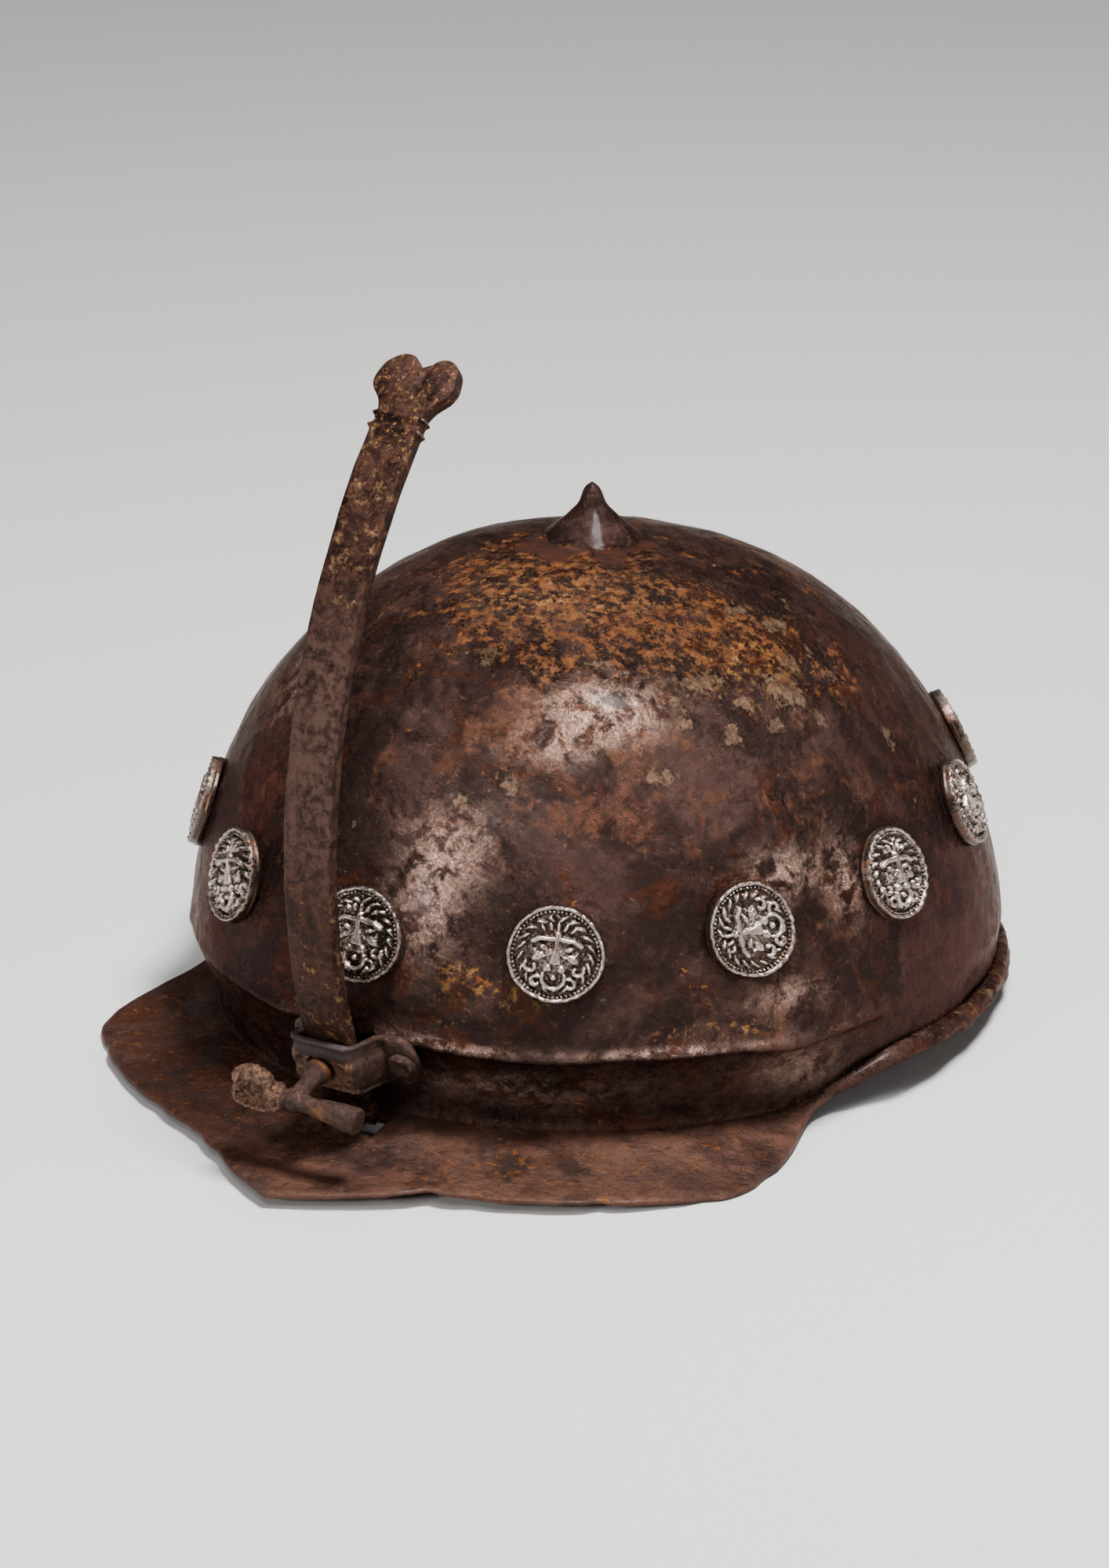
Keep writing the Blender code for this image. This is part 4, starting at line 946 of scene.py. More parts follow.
def make_leaf(place):
    """The leaf-shaped wing: a squashed ball, its outline waved and its face cupped."""
    around = np.linspace(0, math.tau, 72, endpoint=False)
    lift = np.linspace(-1, 1, 40)[:, None]
    reach = np.sqrt(np.clip(1 - np.abs(lift) ** 3, 0, 1))
    wave = 1 + 0.13 * np.cos(3 * around + 0.6) + 0.07 * np.cos(5 * around)
    x = -WING_REACH * 0.55 + WING_REACH * 0.43 * reach * wave * np.cos(around)
    y = WING_LEAF_HEIGHT / 2 * reach * wave * np.sin(around)
    cup = 1.2 * bell(reach, 0.82, 0.14) - 3.2 * bell(reach, 0.0, 0.48)
    z = WING_LEAF_THICKNESS / 2 * lift + cup * MM * (lift > 0) * (1 + 0.25 * np.cos(2 * around - 0.8))
    return closed_rings("screw_leaf", np.stack(np.broadcast_arrays(x, y, z), -1), place)


def make_screw():
    """The thumb screw: turned neck, tube-shaped wing, leaf-shaped wing and link, fused and then crusted."""
    place = LAY @ screw_matrix()
    tip = -(STAPLE_PLAY + STAPLE_STRAP) + 2 * CLEARANCE
    shank = [(2.6 * MM, CLEARANCE), (SHANK_RADIUS, 0.0), (SHANK_RADIUS, tip + 0.4 * MM)]
    shank += [(1.6 * MM, tip), (0.2 * MM, tip)]
    wings = place @ Matrix.Translation((0, 0, WING_DISTANCE))
    to_side = wings @ Matrix.Rotation(math.pi / 2, 4, "Y")
    to_leaf = wings @ Matrix.Rotation(-math.pi / 2, 4, "Y")
    parts = [turned("screw_neck", [(r * MM, z * MM) for r, z in NECK_ROWS] + shank, 48, place)]
    parts.append(turned("screw_rod", [(r * MM, z * MM) for r, z in ROD_ROWS], 48, to_side))
    parts.append(make_leaf(wings))
    parts.append(turned("screw_link", [(r * MM, z * MM) for r, z in LINK_ROWS], 32, to_leaf))
    piece = fuse("screw_forged", parts, FUSE_VOXEL)

    local = laid(read_points(piece), place.inverted())
    leaf_side = smooth(-local[:, 0], 1 * MM, 5 * MM)
    height = 0.10 * MM + 0.42 * MM * leaf_side * smooth(local[:, 2], 4 * MM, 8 * MM)
    grain = layered_noise(local, 1.6 * MM, 3, 71) + 0.6 * layered_noise(local, 4.5 * MM, 2, 75) * leaf_side
    raise_skin(piece, height * grain * smooth(local[:, 2], 0.3 * MM, 1.5 * MM))

    local = laid(read_points(piece), place.inverted())
    wide = np.hypot(local[:, 0], local[:, 1])
    rim = bell(local[:, 2], 1.8 * MM, 0.9 * MM) * smooth(wide, 2.9 * MM, 3.3 * MM)
    spot = bell(local[:, 0], 8.0 * MM, 2.2 * MM) * smooth(local[:, 2], 13 * MM, 15 * MM)
    store(piece, "rusty", np.clip(rim + 0.8 * spot, 0, 1))
    store(piece, "crusty", smooth(-local[:, 0], 2 * MM, 4 * MM) * smooth(local[:, 2], 7 * MM, 9 * MM))
    return piece


def fuse(name, parts, voxel):
    """Join closed meshes into one, remeshed at a voxel's size and evened out."""
    bpy.ops.object.select_all(action="DESELECT")
    for part in parts:
        part.select_set(True)
    bpy.context.view_layer.objects.active = parts[0]
    bpy.ops.object.join()
    piece = parts[0]
    piece.name = name
    piece.data.name = name
    modifier = piece.modifiers.new("fuse", "REMESH")
    modifier.mode = "VOXEL"
    modifier.voxel_size = voxel
    modifier.use_smooth_shade = True
    relax = piece.modifiers.new("relax", "SMOOTH")
    relax.factor = 0.5
    relax.iterations = 4
    apply_modifiers(piece)
    return piece


def dome(x, y, at, wide, tall, turn=0.0):
    """A round boss: sqrt(1 - d^2) over an ellipse that is turned about its middle."""
    a = math.radians(turn)
    dx, dy = x - at[0], y - at[1]
    along = (dx * math.cos(a) + dy * math.sin(a)) / wide
    over = (-dx * math.sin(a) + dy * math.cos(a)) / tall
    return np.sqrt(np.clip(1 - along ** 2 - over ** 2, 0, 1))


def bead_line(x, y, path, wide):
    """A raised line along a path: sqrt(1 - (d/w)^2) of the distance to its nearest stretch."""
    best = np.full(x.shape, 9.0)
    for (ax, ay), (bx, by) in zip(path[:-1], path[1:]):
        ux, uy = bx - ax, by - ay
        t = np.clip(((x - ax) * ux + (y - ay) * uy) / (ux * ux + uy * uy), 0, 1)
        best = np.minimum(best, np.hypot(x - ax - t * ux, y - ay - t * uy))
    return np.sqrt(np.clip(1 - (best / wide) ** 2, 0, 1))


def arc_path(at, radius, start, end, count=14, squeeze=1.0):
    """Points round an arc, or a spiral if the radius is squeezed on the way."""
    share = np.linspace(0, 1, count)
    turn = np.radians(start + (end - start) * share)
    size = radius * (1 + (squeeze - 1) * share)
    return [(at[0] + r * math.cos(a), at[1] + r * math.sin(a)) for r, a in zip(size, turn)]


# The mask over the unit disc. Bosses either side and in the middle: place, half sizes, turn and height
MASK_SIDE_BOSSES = table(
    "part across up wide tall turn height",
    ("eye", 0.25, 0.13, 0.120, 0.070, 18, 0.80),
    ("nostril", 0.135, -0.27, 0.110, 0.100, 0, 0.95),
    ("cheek", 0.34, -0.06, 0.17, 0.10, -35, 0.74),
    ("inner crest leaf", 0.15, 0.54, 0.050, 0.12, -22, 0.74),
    ("outer crest leaf", 0.30, 0.50, 0.045, 0.10, -42, 0.70),
)
MASK_MIDDLE_BOSSES = table(
    "part up wide tall height",
    ("brow knot", 0.40, 0.10, 0.08, 0.80),
    ("crest leaf", 0.55, 0.050, 0.12, 0.76),
    ("chin", -0.45, 0.085, 0.075, 0.86),
)
# Beads along arcs either side: middle, radius, start and end of the arc, how far it winds in, bead and height
MASK_CURLS = table(
    "part across up radius start end squeeze bead height",
    ("moustache", 0.45, -0.27, 0.13, 70, 300, 0.5, 0.050, 0.76),
    ("beard", 0.33, -0.57, 0.12, -20, 230, 0.5, 0.048, 0.72),
)
MASK_BROW = ((0.0, 0.33), (0.16, 0.30), (0.34, 0.30), (0.48, 0.22))


def mask_relief(x, y):
    """The cast mask over the unit disc, 0 to 1: the highest of its forms, over a stippled field."""
    grain = layered_noise(np.stack([x, y, np.zeros_like(x)], -1), 0.060, 3, 81)
    radius, turn = np.hypot(x, y), np.arctan2(y, x)
    field = 0.16 + 0.30 * bell(radius, 0, 0.42)
    down = np.clip((0.30 - y) / 0.42, 0, 1)
    nose = np.sqrt(np.clip(1 - (x / (0.050 + 0.100 * down ** 2)) ** 2, 0, 1))
    nose = nose * smooth(0.34 - np.abs(y - 0.08), 0, 0.08)
    forms = [1.00 * nose * (y > -0.18)]
    for side in (-1, 1):
        brow = [(across * side, up) for across, up in MASK_BROW]
        forms.append(0.88 * bead_line(x, y, brow, 0.062))
        eye_bag = arc_path((0.25 * side, 0.13), 0.18, 200, 340, 10)
        forms.append(0.60 * bead_line(x, y, eye_bag, 0.034))
        for boss in MASK_SIDE_BOSSES:
            at = (boss["across"] * side, boss["up"])
            raised = dome(x, y, at, boss["wide"], boss["tall"], boss["turn"] * side)
            forms.append(boss["height"] * raised)
        for curl in MASK_CURLS:
            at = (curl["across"] * side, curl["up"])
            start, end = 90 - curl["start"] * side, 90 - curl["end"] * side
            path = arc_path(at, curl["radius"], start, end, 12, curl["squeeze"])
            forms.append(curl["height"] * bead_line(x, y, path, curl["bead"]))
    for boss in MASK_MIDDLE_BOSSES:
        forms.append(boss["height"] * dome(x, y, (0.0, boss["up"]), boss["wide"], boss["tall"]))
    mouth = arc_path((0.0, -0.45), 0.22, 165, 375, 16)
    forms.append(0.86 * bead_line(x, y, mouth, 0.052))
    comma = np.clip(0.25 + np.cos(turn * 21 + 30 * (radius - 0.70) * np.sign(x)), 0, 1) ** 0.7
    forms.append(0.66 * comma * bell(radius, 0.705, 0.085))
    forms.append(0.60 * np.clip(0.3 + np.cos(turn * 62), 0, 1) ** 0.5 * bell(radius, 0.845, 0.036))
    height = np.maximum.reduce([field] + forms)
    rim = 0.72 * np.sqrt(np.clip(1 - ((radius - 0.925) / 0.058) ** 2, 0, 1))
    rim = rim * (1 - 0.22 * np.cos(turn * 74) ** 2)
    height = np.where(radius > 0.875, np.maximum(rim, 0.16), height)
    return height + 0.075 * grain


def medallion_ring_height(angle):
    """The ring of medallions rises evenly towards the back."""
    return MEDALLION_FRONT_HEIGHT + MEDALLION_BACK_RISE * (1 - np.cos(angle)) / 2


def medallion_angles():
    """Angles at even spacing along the ring that the medallions lie on."""
    angle = np.linspace(0, math.tau, 2881)
    ring = crown(angle, medallion_ring_height(angle))
    along = np.concatenate([[0], np.cumsum(np.linalg.norm(np.diff(ring, axis=0), axis=1))])
    return np.interp(np.arange(MEDALLION_COUNT) * along[-1] / MEDALLION_COUNT, along, angle)


def make_medallion(index, angle, turn):
    """A cast disc laid on the crown: rings of the mask's relief over a back that follows the skull."""
    height_at = medallion_ring_height(angle)
    step = 0.1 * MM
    round_ = np.linalg.norm(crown(angle + step, height_at) - crown(angle - step, height_at)) / (2 * step)
    up = np.linalg.norm(crown(angle, height_at + step) - crown(angle, height_at - step)) / (2 * step)
    radius = np.concatenate([np.linspace(0.01, 0.78, MEDALLION_RINGS - 20), np.linspace(0.79, 1.0, 20)])
    around = np.linspace(0, math.tau, MEDALLION_SECTORS, endpoint=False)
    u = radius[:, None] * np.cos(around)
    v = radius[:, None] * np.sin(around)
    mask_x = u * math.cos(turn) + v * math.sin(turn)
    mask_y = -u * math.sin(turn) + v * math.cos(turn)
    shift = 3.0 * index
    worn = 0.86 + 0.10 * lattice_noise(np.stack([mask_x + shift, mask_y, 0 * u], -1), 0.5, 91)
    relief = np.minimum(mask_relief(mask_x, mask_y), worn)
    outline = np.stack([np.cos(around) + shift, np.sin(around), 0 * around], -1)
    rag = 1 + 0.012 * layered_noise(outline, 0.35, 3, 95)
    u, v = u * rag, v * rag
    edge = smooth(radius, 0.955, 1.0)[:, None]
    height = MEDALLION_THICKNESS * (1 - 0.35 * edge) + MEDALLION_RELIEF * relief * (1 - edge)

    def on_crown(across, upward, height):
        """Places across and up the disc, in radii, laid on the crown at a height over it."""
        a = angle + across * MEDALLION_RADIUS / round_
        z = height_at + upward * MEDALLION_RADIUS / up
        return crown(a, z) + crown_out(a, z) * (CLEARANCE + height)[..., None]

    rim_level = np.full((1, MEDALLION_SECTORS), MEDALLION_THICKNESS)
    side = [on_crown(u[-1:], v[-1:], rim_level * share) for share in (0.42, 0.2, 0.0)]
    back_u, back_v = u[::-9] * 0.999, v[::-9] * 0.999
    back = on_crown(back_u, back_v, np.zeros(back_u.shape))
    grid = np.concatenate([on_crown(u, v, height), *side, back])
    piece = closed_rings(f"medallion_cast_{index + 1:02d}", grid)
    flat = np.zeros(grid.shape[:2])
    flat[:len(relief)] = relief
    store(piece, "relief", np.concatenate([flat.ravel(), [relief[0, 0]], [0]]))
    rim = np.ones(grid.shape[:2])
    rim[:len(relief)] = smooth(radius, 0.90, 0.97)[:, None]
    store(piece, "rim", np.concatenate([rim.ravel(), [0], [1]]))
    return piece


class Finish:
    """A Principled material put together from a few kinds of node."""

    def __init__(self, name):
        self.material = bpy.data.materials.new(name)
        self.material.use_nodes = True
        self.tree = self.material.node_tree
        self.shader = self.tree.nodes["Principled BSDF"]
        self.place = self.tree.nodes.new("ShaderNodeTexCoord").outputs["Object"]
        self.colour = None

    def put(self, socket, value):
        """Link an output to a socket, or set the socket's own value."""
        if isinstance(value, bpy.types.NodeSocket):
            self.tree.links.new(value, socket)
        else:
            socket.default_value = value

    def noise(self, size, detail=4.0, rough=0.55, twist=0.0, stretch=(1, 1, 1), shift=(0, 0, 0)):
        """Noise whose features are about that size in metres."""
        mapping = self.tree.nodes.new("ShaderNodeMapping")
        mapping.inputs["Scale"].default_value = stretch
        mapping.inputs["Location"].default_value = shift
        self.tree.links.new(self.place, mapping.inputs["Vector"])
        node = self.tree.nodes.new("ShaderNodeTexNoise")
        self.tree.links.new(mapping.outputs["Vector"], node.inputs["Vector"])
        node.inputs["Scale"].default_value = 1 / size
        node.inputs["Detail"].default_value = detail
        node.inputs["Roughness"].default_value = rough
        node.inputs["Distortion"].default_value = twist
        return node.outputs["Fac"]

    def attribute(self, name):
        """A number that the piece's vertices carry."""
        node = self.tree.nodes.new("ShaderNodeAttribute")
        node.attribute_name = name
        return node.outputs["Fac"]

    def band(self, value, low, high, start=0.0, end=1.0):
        """A value mapped smoothly from low..high onto start..end."""
        node = self.tree.nodes.new("ShaderNodeMapRange")
        node.interpolation_type = "SMOOTHSTEP"
        self.put(node.inputs["Value"], value)
        node.inputs["From Min"].default_value = low
        node.inputs["From Max"].default_value = high
        node.inputs["To Min"].default_value = start
        node.inputs["To Max"].default_value = end
        return node.outputs["Result"]

    def math(self, operation, first, second):
        """One Math node."""
        node = self.tree.nodes.new("ShaderNodeMath")
        node.operation = operation
        self.put(node.inputs[0], first)
        self.put(node.inputs[1], second)
        return node.outputs["Value"]

    def times(self, first, second):
        """A product."""
        return self.math("MULTIPLY", first, second)

    def plus(self, first, second):
        """A sum."""
        return self.math("ADD", first, second)

    def less(self, first, second):
        """A difference."""
        return self.math("SUBTRACT", first, second)

    def most(self, first, second):
        """The larger of two values."""
        return self.math("MAXIMUM", first, second)

    def mix(self, factor, first, second):
        """One colour laid over another."""
        node = self.tree.nodes.new("ShaderNodeMix")
        node.data_type = "RGBA"
        self.put(node.inputs["Factor"], factor)
        self.put(node.inputs["A"], first)
        self.put(node.inputs["B"], second)
        return node.outputs["Result"]

    def lay(self, factor, over):
        """Lay a colour over what the finish has so far."""
        self.colour = self.mix(factor, self.colour, over)

    def ramp(self, value, stops):
        """Colours blended from stop to stop along a value."""
        node = self.tree.nodes.new("ShaderNodeValToRGB")
        self.put(node.inputs["Fac"], value)
        points = node.color_ramp.elements
        points[0].position, points[0].color = stops[0]
        points[1].position, points[1].color = stops[-1]
        for position, colour in stops[1:-1]:
            points.new(position).color = colour
        return node.outputs["Color"]

    def bump(self, height, distance, strength=1.0, under=None):
        """A bump over another one, its height in metres."""
        node = self.tree.nodes.new("ShaderNodeBump")
        node.inputs["Strength"].default_value = strength
        node.inputs["Distance"].default_value = distance
        self.put(node.inputs["Height"], height)
        if under is not None:
            self.tree.links.new(under, node.inputs["Normal"])
        return node.outputs["Normal"]

    def done(self, **sockets):
        """Set the shader's sockets by name, with _ for a space."""
        for name, value in sockets.items():
            self.put(self.shader.inputs[name.replace("_", " ")], value)
        return self.material


# Colours of the patina, linear
NEAR_BLACK = (0.0065, 0.0030, 0.0025, 1)
PURPLE_BROWN = (0.0240, 0.0110, 0.0095, 1)
DARK_GLOSS = (0.0220, 0.0125, 0.0110, 1)
BROWN_GLOSS = (0.0560, 0.0290, 0.0240, 1)
RED_BROWN = (0.0480, 0.0150, 0.0075, 1)
MID_BROWN = (0.0850, 0.0360, 0.0220, 1)
SATIN_BROWN = (0.1060, 0.0500, 0.0330, 1)
RUST_BROWN = (0.1150, 0.0400, 0.0140, 1)
ORANGE = (0.1900, 0.0660, 0.0180, 1)
OCHRE = (0.3700, 0.1800, 0.0500, 1)
TAN = (0.1600, 0.0880, 0.0440, 1)
GREY_TAN = (0.1450, 0.0980, 0.0620, 1)
BARE_GREY = (0.0850, 0.0500, 0.0400, 1)
BLUE_GREY = (0.0520, 0.0420, 0.0460, 1)
BRIGHT_EDGE = (0.3400, 0.2400, 0.1900, 1)
SILVER = (0.5100, 0.4100, 0.3600, 1)
DARK_SILVER = (0.0500, 0.0340, 0.0280, 1)
# Painted highlight: a bright warm colour for the spots where the lamps' highlights fall on the skull
HIGHLIGHT_PAINT_COLOUR = (0.5000, 0.3100, 0.2400, 1)
WARM = (1.0, 0.80, 0.70, 1)
EDGE_TINT = (0.42, 0.28, 0.23, 1)
RUST_STOPS = ((0.47, RED_BROWN), (0.54, RUST_BROWN), (0.62, ORANGE), (0.75, OCHRE))
CRUST_STOPS = ((0.40, NEAR_BLACK), (0.49, MID_BROWN), (0.59, TAN), (0.72, OCHRE))


def skull_finish():
    """Dark glossy patina with brown clouds, sharp grey-tan flakes, rust over the dome and bright specks, with
    painted highlights and painted sheen in patches.
    """
    f = Finish("skull_patina")
    grain = f.noise(0.0034, 8, 0.76, 0.3)
    fine = f.noise(0.0009, 4, 0.70)
    dark = f.band(f.noise(0.030, 7, 0.66, 0.8), 0.45, 0.56)
    f.colour = f.mix(f.times(dark, f.band(grain, 0.36, 0.56, 0.4, 1.0)), DARK_GLOSS, BROWN_GLOSS)
    red = f.band(f.noise(0.016, 7, 0.68, 0.8, shift=(7, 3, 1)), 0.53, 0.60, 0.0, 0.85)
    f.lay(f.times(red, f.band(grain, 0.40, 0.52, 0.2, 1.0)), RED_BROWN)
    # Painted sheen: brown clouds gathered in patches where the lamps' sheen falls, over the patina's own
    # brown clouding
    painted_sheen = f.band(f.attribute("painted_sheen"), 0.0, 1.0, -0.05, 0.065)
    cloud = f.plus(f.noise(0.015, 8, 0.74, 0.6, shift=(3, 1, 2)), painted_sheen)
    brown = f.times(f.band(cloud, 0.53, 0.60), f.band(grain, 0.40, 0.54, 0.15, 1.0))
    f.lay(brown, MID_BROWN)
    shape = f.noise(0.0075, 4.0, 0.50, 0.6, shift=(2, 8, 4))
    charted = f.band(f.attribute("flakes"), 0.0, 1.2, -0.08, 0.055)
    flakes = f.band(f.plus(shape, charted), 0.645, 0.660)
    chips = f.band(f.plus(f.attribute("chips"), f.band(grain, 0.30, 0.70, -0.40, 0.40)), 0.42, 0.50)
    flakes = f.times(f.most(flakes, chips), f.band(grain, 0.34, 0.54, 0.20, 0.92))
    f.lay(flakes, f.mix(f.band(fine, 0.36, 0.58), MID_BROWN, GREY_TAN))
    edge = f.noise(0.013, 8, 0.78, 0.3, shift=(4, 2, 6))
    gather = f.plus(f.attribute("rust"), f.band(edge, 0.30, 0.70, -0.75, 0.65))
    density = f.band(gather, -0.10, 1.10, -0.17, 0.012)
    scale = f.noise(0.0034, 9, 0.80, 0.15, stretch=(1, 1, 1.3), shift=(5, 5, 1))
    zone = f.band(density, -0.12, 0.02)
    rusty = f.band(f.plus(scale, density), 0.500, 0.540, 0.0, 0.95)
    f.lay(rusty, f.ramp(scale, RUST_STOPS))
    specks = f.band(f.noise(0.0013, 2, 0.5, shift=(6, 6, 6)), 0.68, 0.71, 0.0, 0.85)
    f.lay(f.times(specks, f.band(edge, 0.38, 0.60, 0.15, 1.0)), TAN)
    peak = f.attribute("peak")
    satin = f.band(f.noise(0.017, 7, 0.70, 0.4, shift=(1, 1, 6)), 0.42, 0.58, 0.12, 1.0)
    satin = f.times(f.times(peak, satin), f.band(grain, 0.36, 0.56, 0.55, 1.0))
    f.lay(satin, f.mix(f.attribute("far"), SATIN_BROWN, RED_BROWN))
    freckle = f.band(f.noise(0.0024, 5, 0.70, shift=(8, 1, 2)), 0.56, 0.62, 0.0, 0.7)
    freckle = f.times(freckle, f.band(edge, 0.46, 0.56))
    f.lay(f.times(peak, freckle), ORANGE)
    gilding = f.band(f.noise(0.0020, 5, 0.74, shift=(2, 2, 2)), 0.54, 0.60)
    f.lay(f.times(f.attribute("gilt"), gilding), OCHRE)
    # Painted highlight: bright warm metal laid in patches where highlights fall, with lower roughness and
    # more metal there
    highlight_paint = f.band(f.noise(0.0052, 8, 0.74, 0.5, shift=(9, 2, 7)), 0.42, 0.56)
    highlight_paint = f.times(highlight_paint, f.band(fine, 0.36, 0.56, 0.35, 1.0))
    highlight_paint = f.times(f.attribute("painted_highlight"), highlight_paint)
    f.lay(highlight_paint, HIGHLIGHT_PAINT_COLOUR)
    f.lay(f.band(f.attribute("worn"), 0.25, 0.9, 0.0, 0.40), BARE_GREY)
    f.lay(f.band(f.attribute("hollow"), 0.2, 0.9, 0.0, 0.75), NEAR_BLACK)
    f.lay(f.attribute("inside"), f.mix(f.band(grain, 0.4, 0.6), PURPLE_BROWN, RED_BROWN))
    crust = f.most(rusty, f.times(flakes, 0.7))
    rough = f.plus(f.band(grain, 0.34, 0.66, 0.18, 0.38), f.times(crust, 0.22))
    rough = f.plus(rough, f.times(peak, 0.10))
    rough = f.less(rough, f.times(highlight_paint, 0.10))
    rough = f.most(rough, f.times(f.attribute("inside"), 0.65))
    waves = f.bump(f.noise(0.0080, 7, 0.62, 0.15, shift=(3, 3, 3)), 0.0030, 0.80)
    pits = f.bump(f.plus(grain, f.times(scale, zone)), 0.00085, 0.80, waves)
    skin = f.bump(f.plus(fine, f.times(flakes, 0.8)), 0.00022, 0.80, pits)
    dull = f.most(crust, f.most(peak, f.attribute("inside")))
    metal = f.most(f.band(dull, 0.0, 1.0, 0.88, 0.50), f.times(highlight_paint, 0.95))
    return f.done(Base_Color=f.colour, Roughness=rough, Normal=skin, Metallic=metal,
                  Specular_IOR_Level=0.50, Specular_Tint=EDGE_TINT, Coat_Weight=0.04, Coat_Roughness=0.16)


def blade_finish():
    """Grey-brown satin steel, smooth in the middle, rust-speckled towards both ends, bright at the arris."""
    f = Finish("blade_steel")
    grain = f.noise(0.0028, 8, 0.76, 0.3)
    fine = f.noise(0.0008, 4, 0.65)
    along = f.attribute("along")
    middle = f.times(f.band(along, 0.27, 0.44), f.band(along, 0.76, 0.58))
    f.colour = f.mix(f.band(f.noise(0.012, 6, 0.70), 0.40, 0.58), NEAR_BLACK, PURPLE_BROWN)
    f.lay(f.times(f.band(grain, 0.45, 0.60), 0.5), MID_BROWN)
    f.lay(f.times(middle, f.band(grain, 0.40, 0.60, 0.10, 0.75)), BARE_GREY)
    spared = f.most(middle, f.band(along, 0.86, 0.94, 0.0, 0.6))
    cover = f.plus(f.noise(0.009, 7, 0.76, shift=(1, 2, 3)), f.times(spared, -0.12))
    scale = f.noise(0.0026, 8, 0.78, 0.3, shift=(4, 4, 4))
    zone = f.times(f.band(cover, 0.47, 0.56), f.band(scale, 0.48, 0.56, 0.0, 0.90))
    f.lay(zone, f.ramp(scale, CRUST_STOPS))
    gold = f.band(f.noise(0.0013, 3, 0.6, shift=(6, 1, 6)), 0.60, 0.65)
    f.lay(f.times(gold, f.attribute("gilt")), OCHRE)
    f.lay(f.band(f.attribute("worn"), 0.30, 0.95, 0.0, 0.65), BRIGHT_EDGE)
    f.lay(f.band(f.attribute("hollow"), 0.2, 0.8, 0.0, 0.85), NEAR_BLACK)
    rough = f.plus(f.band(grain, 0.3, 0.7, 0.28, 0.46), f.times(zone, 0.16))
    low = f.bump(f.plus(grain, zone), 0.00050, 0.70)
    skin = f.bump(fine, 0.00018, 0.80, low)
    return f.done(Base_Color=f.colour, Roughness=rough, Normal=skin, Metallic=0.55, Specular_IOR_Level=0.5,
                  Specular_Tint=EDGE_TINT)


def fitting_finish(name, crusty):
    """Corroded fittings: dark steel under a tan and ochre granular crust, blue-grey where it is clean."""
    f = Finish(name)
    grain = f.noise(0.0012, 7, 0.78, 0.3)
    fine = f.noise(0.0005, 3, 0.7)
    f.colour = f.mix(f.band(f.noise(0.006, 6, 0.70), 0.40, 0.58), NEAR_BLACK, PURPLE_BROWN)
    f.lay(f.band(grain, 0.46, 0.60, 0.0, 0.6), MID_BROWN)
    f.lay(f.times(f.attribute("blue"), 0.8), BLUE_GREY)
    charted = f.band(f.attribute("crusty"), 0.0, 1.0, crusty - 0.16, crusty + 0.14)
    cover = f.plus(f.noise(0.005, 5, 0.66, shift=(2, 6, 1)), charted)
    f.lay(f.band(cover, 0.46, 0.56, 0.0, 0.95), f.ramp(grain, CRUST_STOPS))
    f.lay(f.times(f.attribute("rusty"), f.band(grain, 0.40, 0.56, 0.25, 0.9)), ORANGE)
    f.lay(f.band(f.attribute("worn"), 0.35, 1.0, 0.0, 0.60), BRIGHT_EDGE)
    f.lay(f.band(f.attribute("hollow"), 0.12, 0.7, 0.0, 0.9), NEAR_BLACK)
    rough = f.band(fine, 0.3, 0.7, 0.32, 0.54)
    low = f.bump(grain, 0.0007, 0.75)
    skin = f.bump(fine, 0.0002, 0.8, low)
    return f.done(Base_Color=f.colour, Roughness=rough, Normal=skin, Metallic=0.45, Specular_IOR_Level=0.6,
                  Specular_Tint=WARM)


def medal_finish():
    """Cast white metal: silvery on the high forms, black-brown in the recesses, dull round the rim."""
    f = Finish("cast_white_metal")
    fine = f.noise(0.0008, 4, 0.65)
    relief = f.attribute("relief")
    high = f.band(f.plus(relief, f.band(fine, 0.3, 0.7, -0.14, 0.14)), 0.20, 0.76)
    high = f.times(high, f.band(f.attribute("rim"), 0.0, 1.0, 1.0, 0.35))
    f.colour = f.mix(high, DARK_SILVER, SILVER)
    tarnish = f.band(f.noise(0.006, 5, 0.66, shift=(3, 1, 1)), 0.46, 0.68, 0.0, 0.60)
    f.lay(tarnish, MID_BROWN)
    rust = f.band(f.noise(0.0030, 4, 0.7, shift=(1, 4, 1)), 0.52, 0.62, 0.0, 0.8)
    rust = f.times(f.attribute("rim"), rust)
    f.lay(rust, RUST_BROWN)
    f.lay(f.band(f.attribute("hollow"), 0.10, 0.60, 0.0, 0.9), NEAR_BLACK)
    f.lay(f.band(f.attribute("worn"), 0.30, 0.90, 0.0, 0.5), SILVER)
    rough = f.band(fine, 0.3, 0.7, 0.22, 0.38)
    return f.done(Base_Color=f.colour, Roughness=rough, Normal=f.bump(fine, 0.00016, 0.7), Metallic=0.9)


# Patches that the skull's finish gathers in: angle, height, spreads (mm) and strength
RUST_PATCHES = table(
    "angle height wide tall strength",
    (69, 108, 22, 8, 1.2),
    (30, 112, 30, 7, 1.0),
    (-14, 114, 24, 8, 0.8),
    (5, 121, 22, 4, 0.9),
    (56, 118, 20, 4, 0.6),
    (92, 98, 14, 8, 0.7),
    (17, 90, 10, 7, 0.35),
    (16, 38, 8, 5, 0.7),
    (46, 40, 6, 6, 0.4),
    (-150, 95, 30, 18, 0.8),
    (150, 110, 26, 12, 0.9),
    (-80, 100, 26, 14, 0.7),
    (-60, 45, 14, 8, 0.8),
)
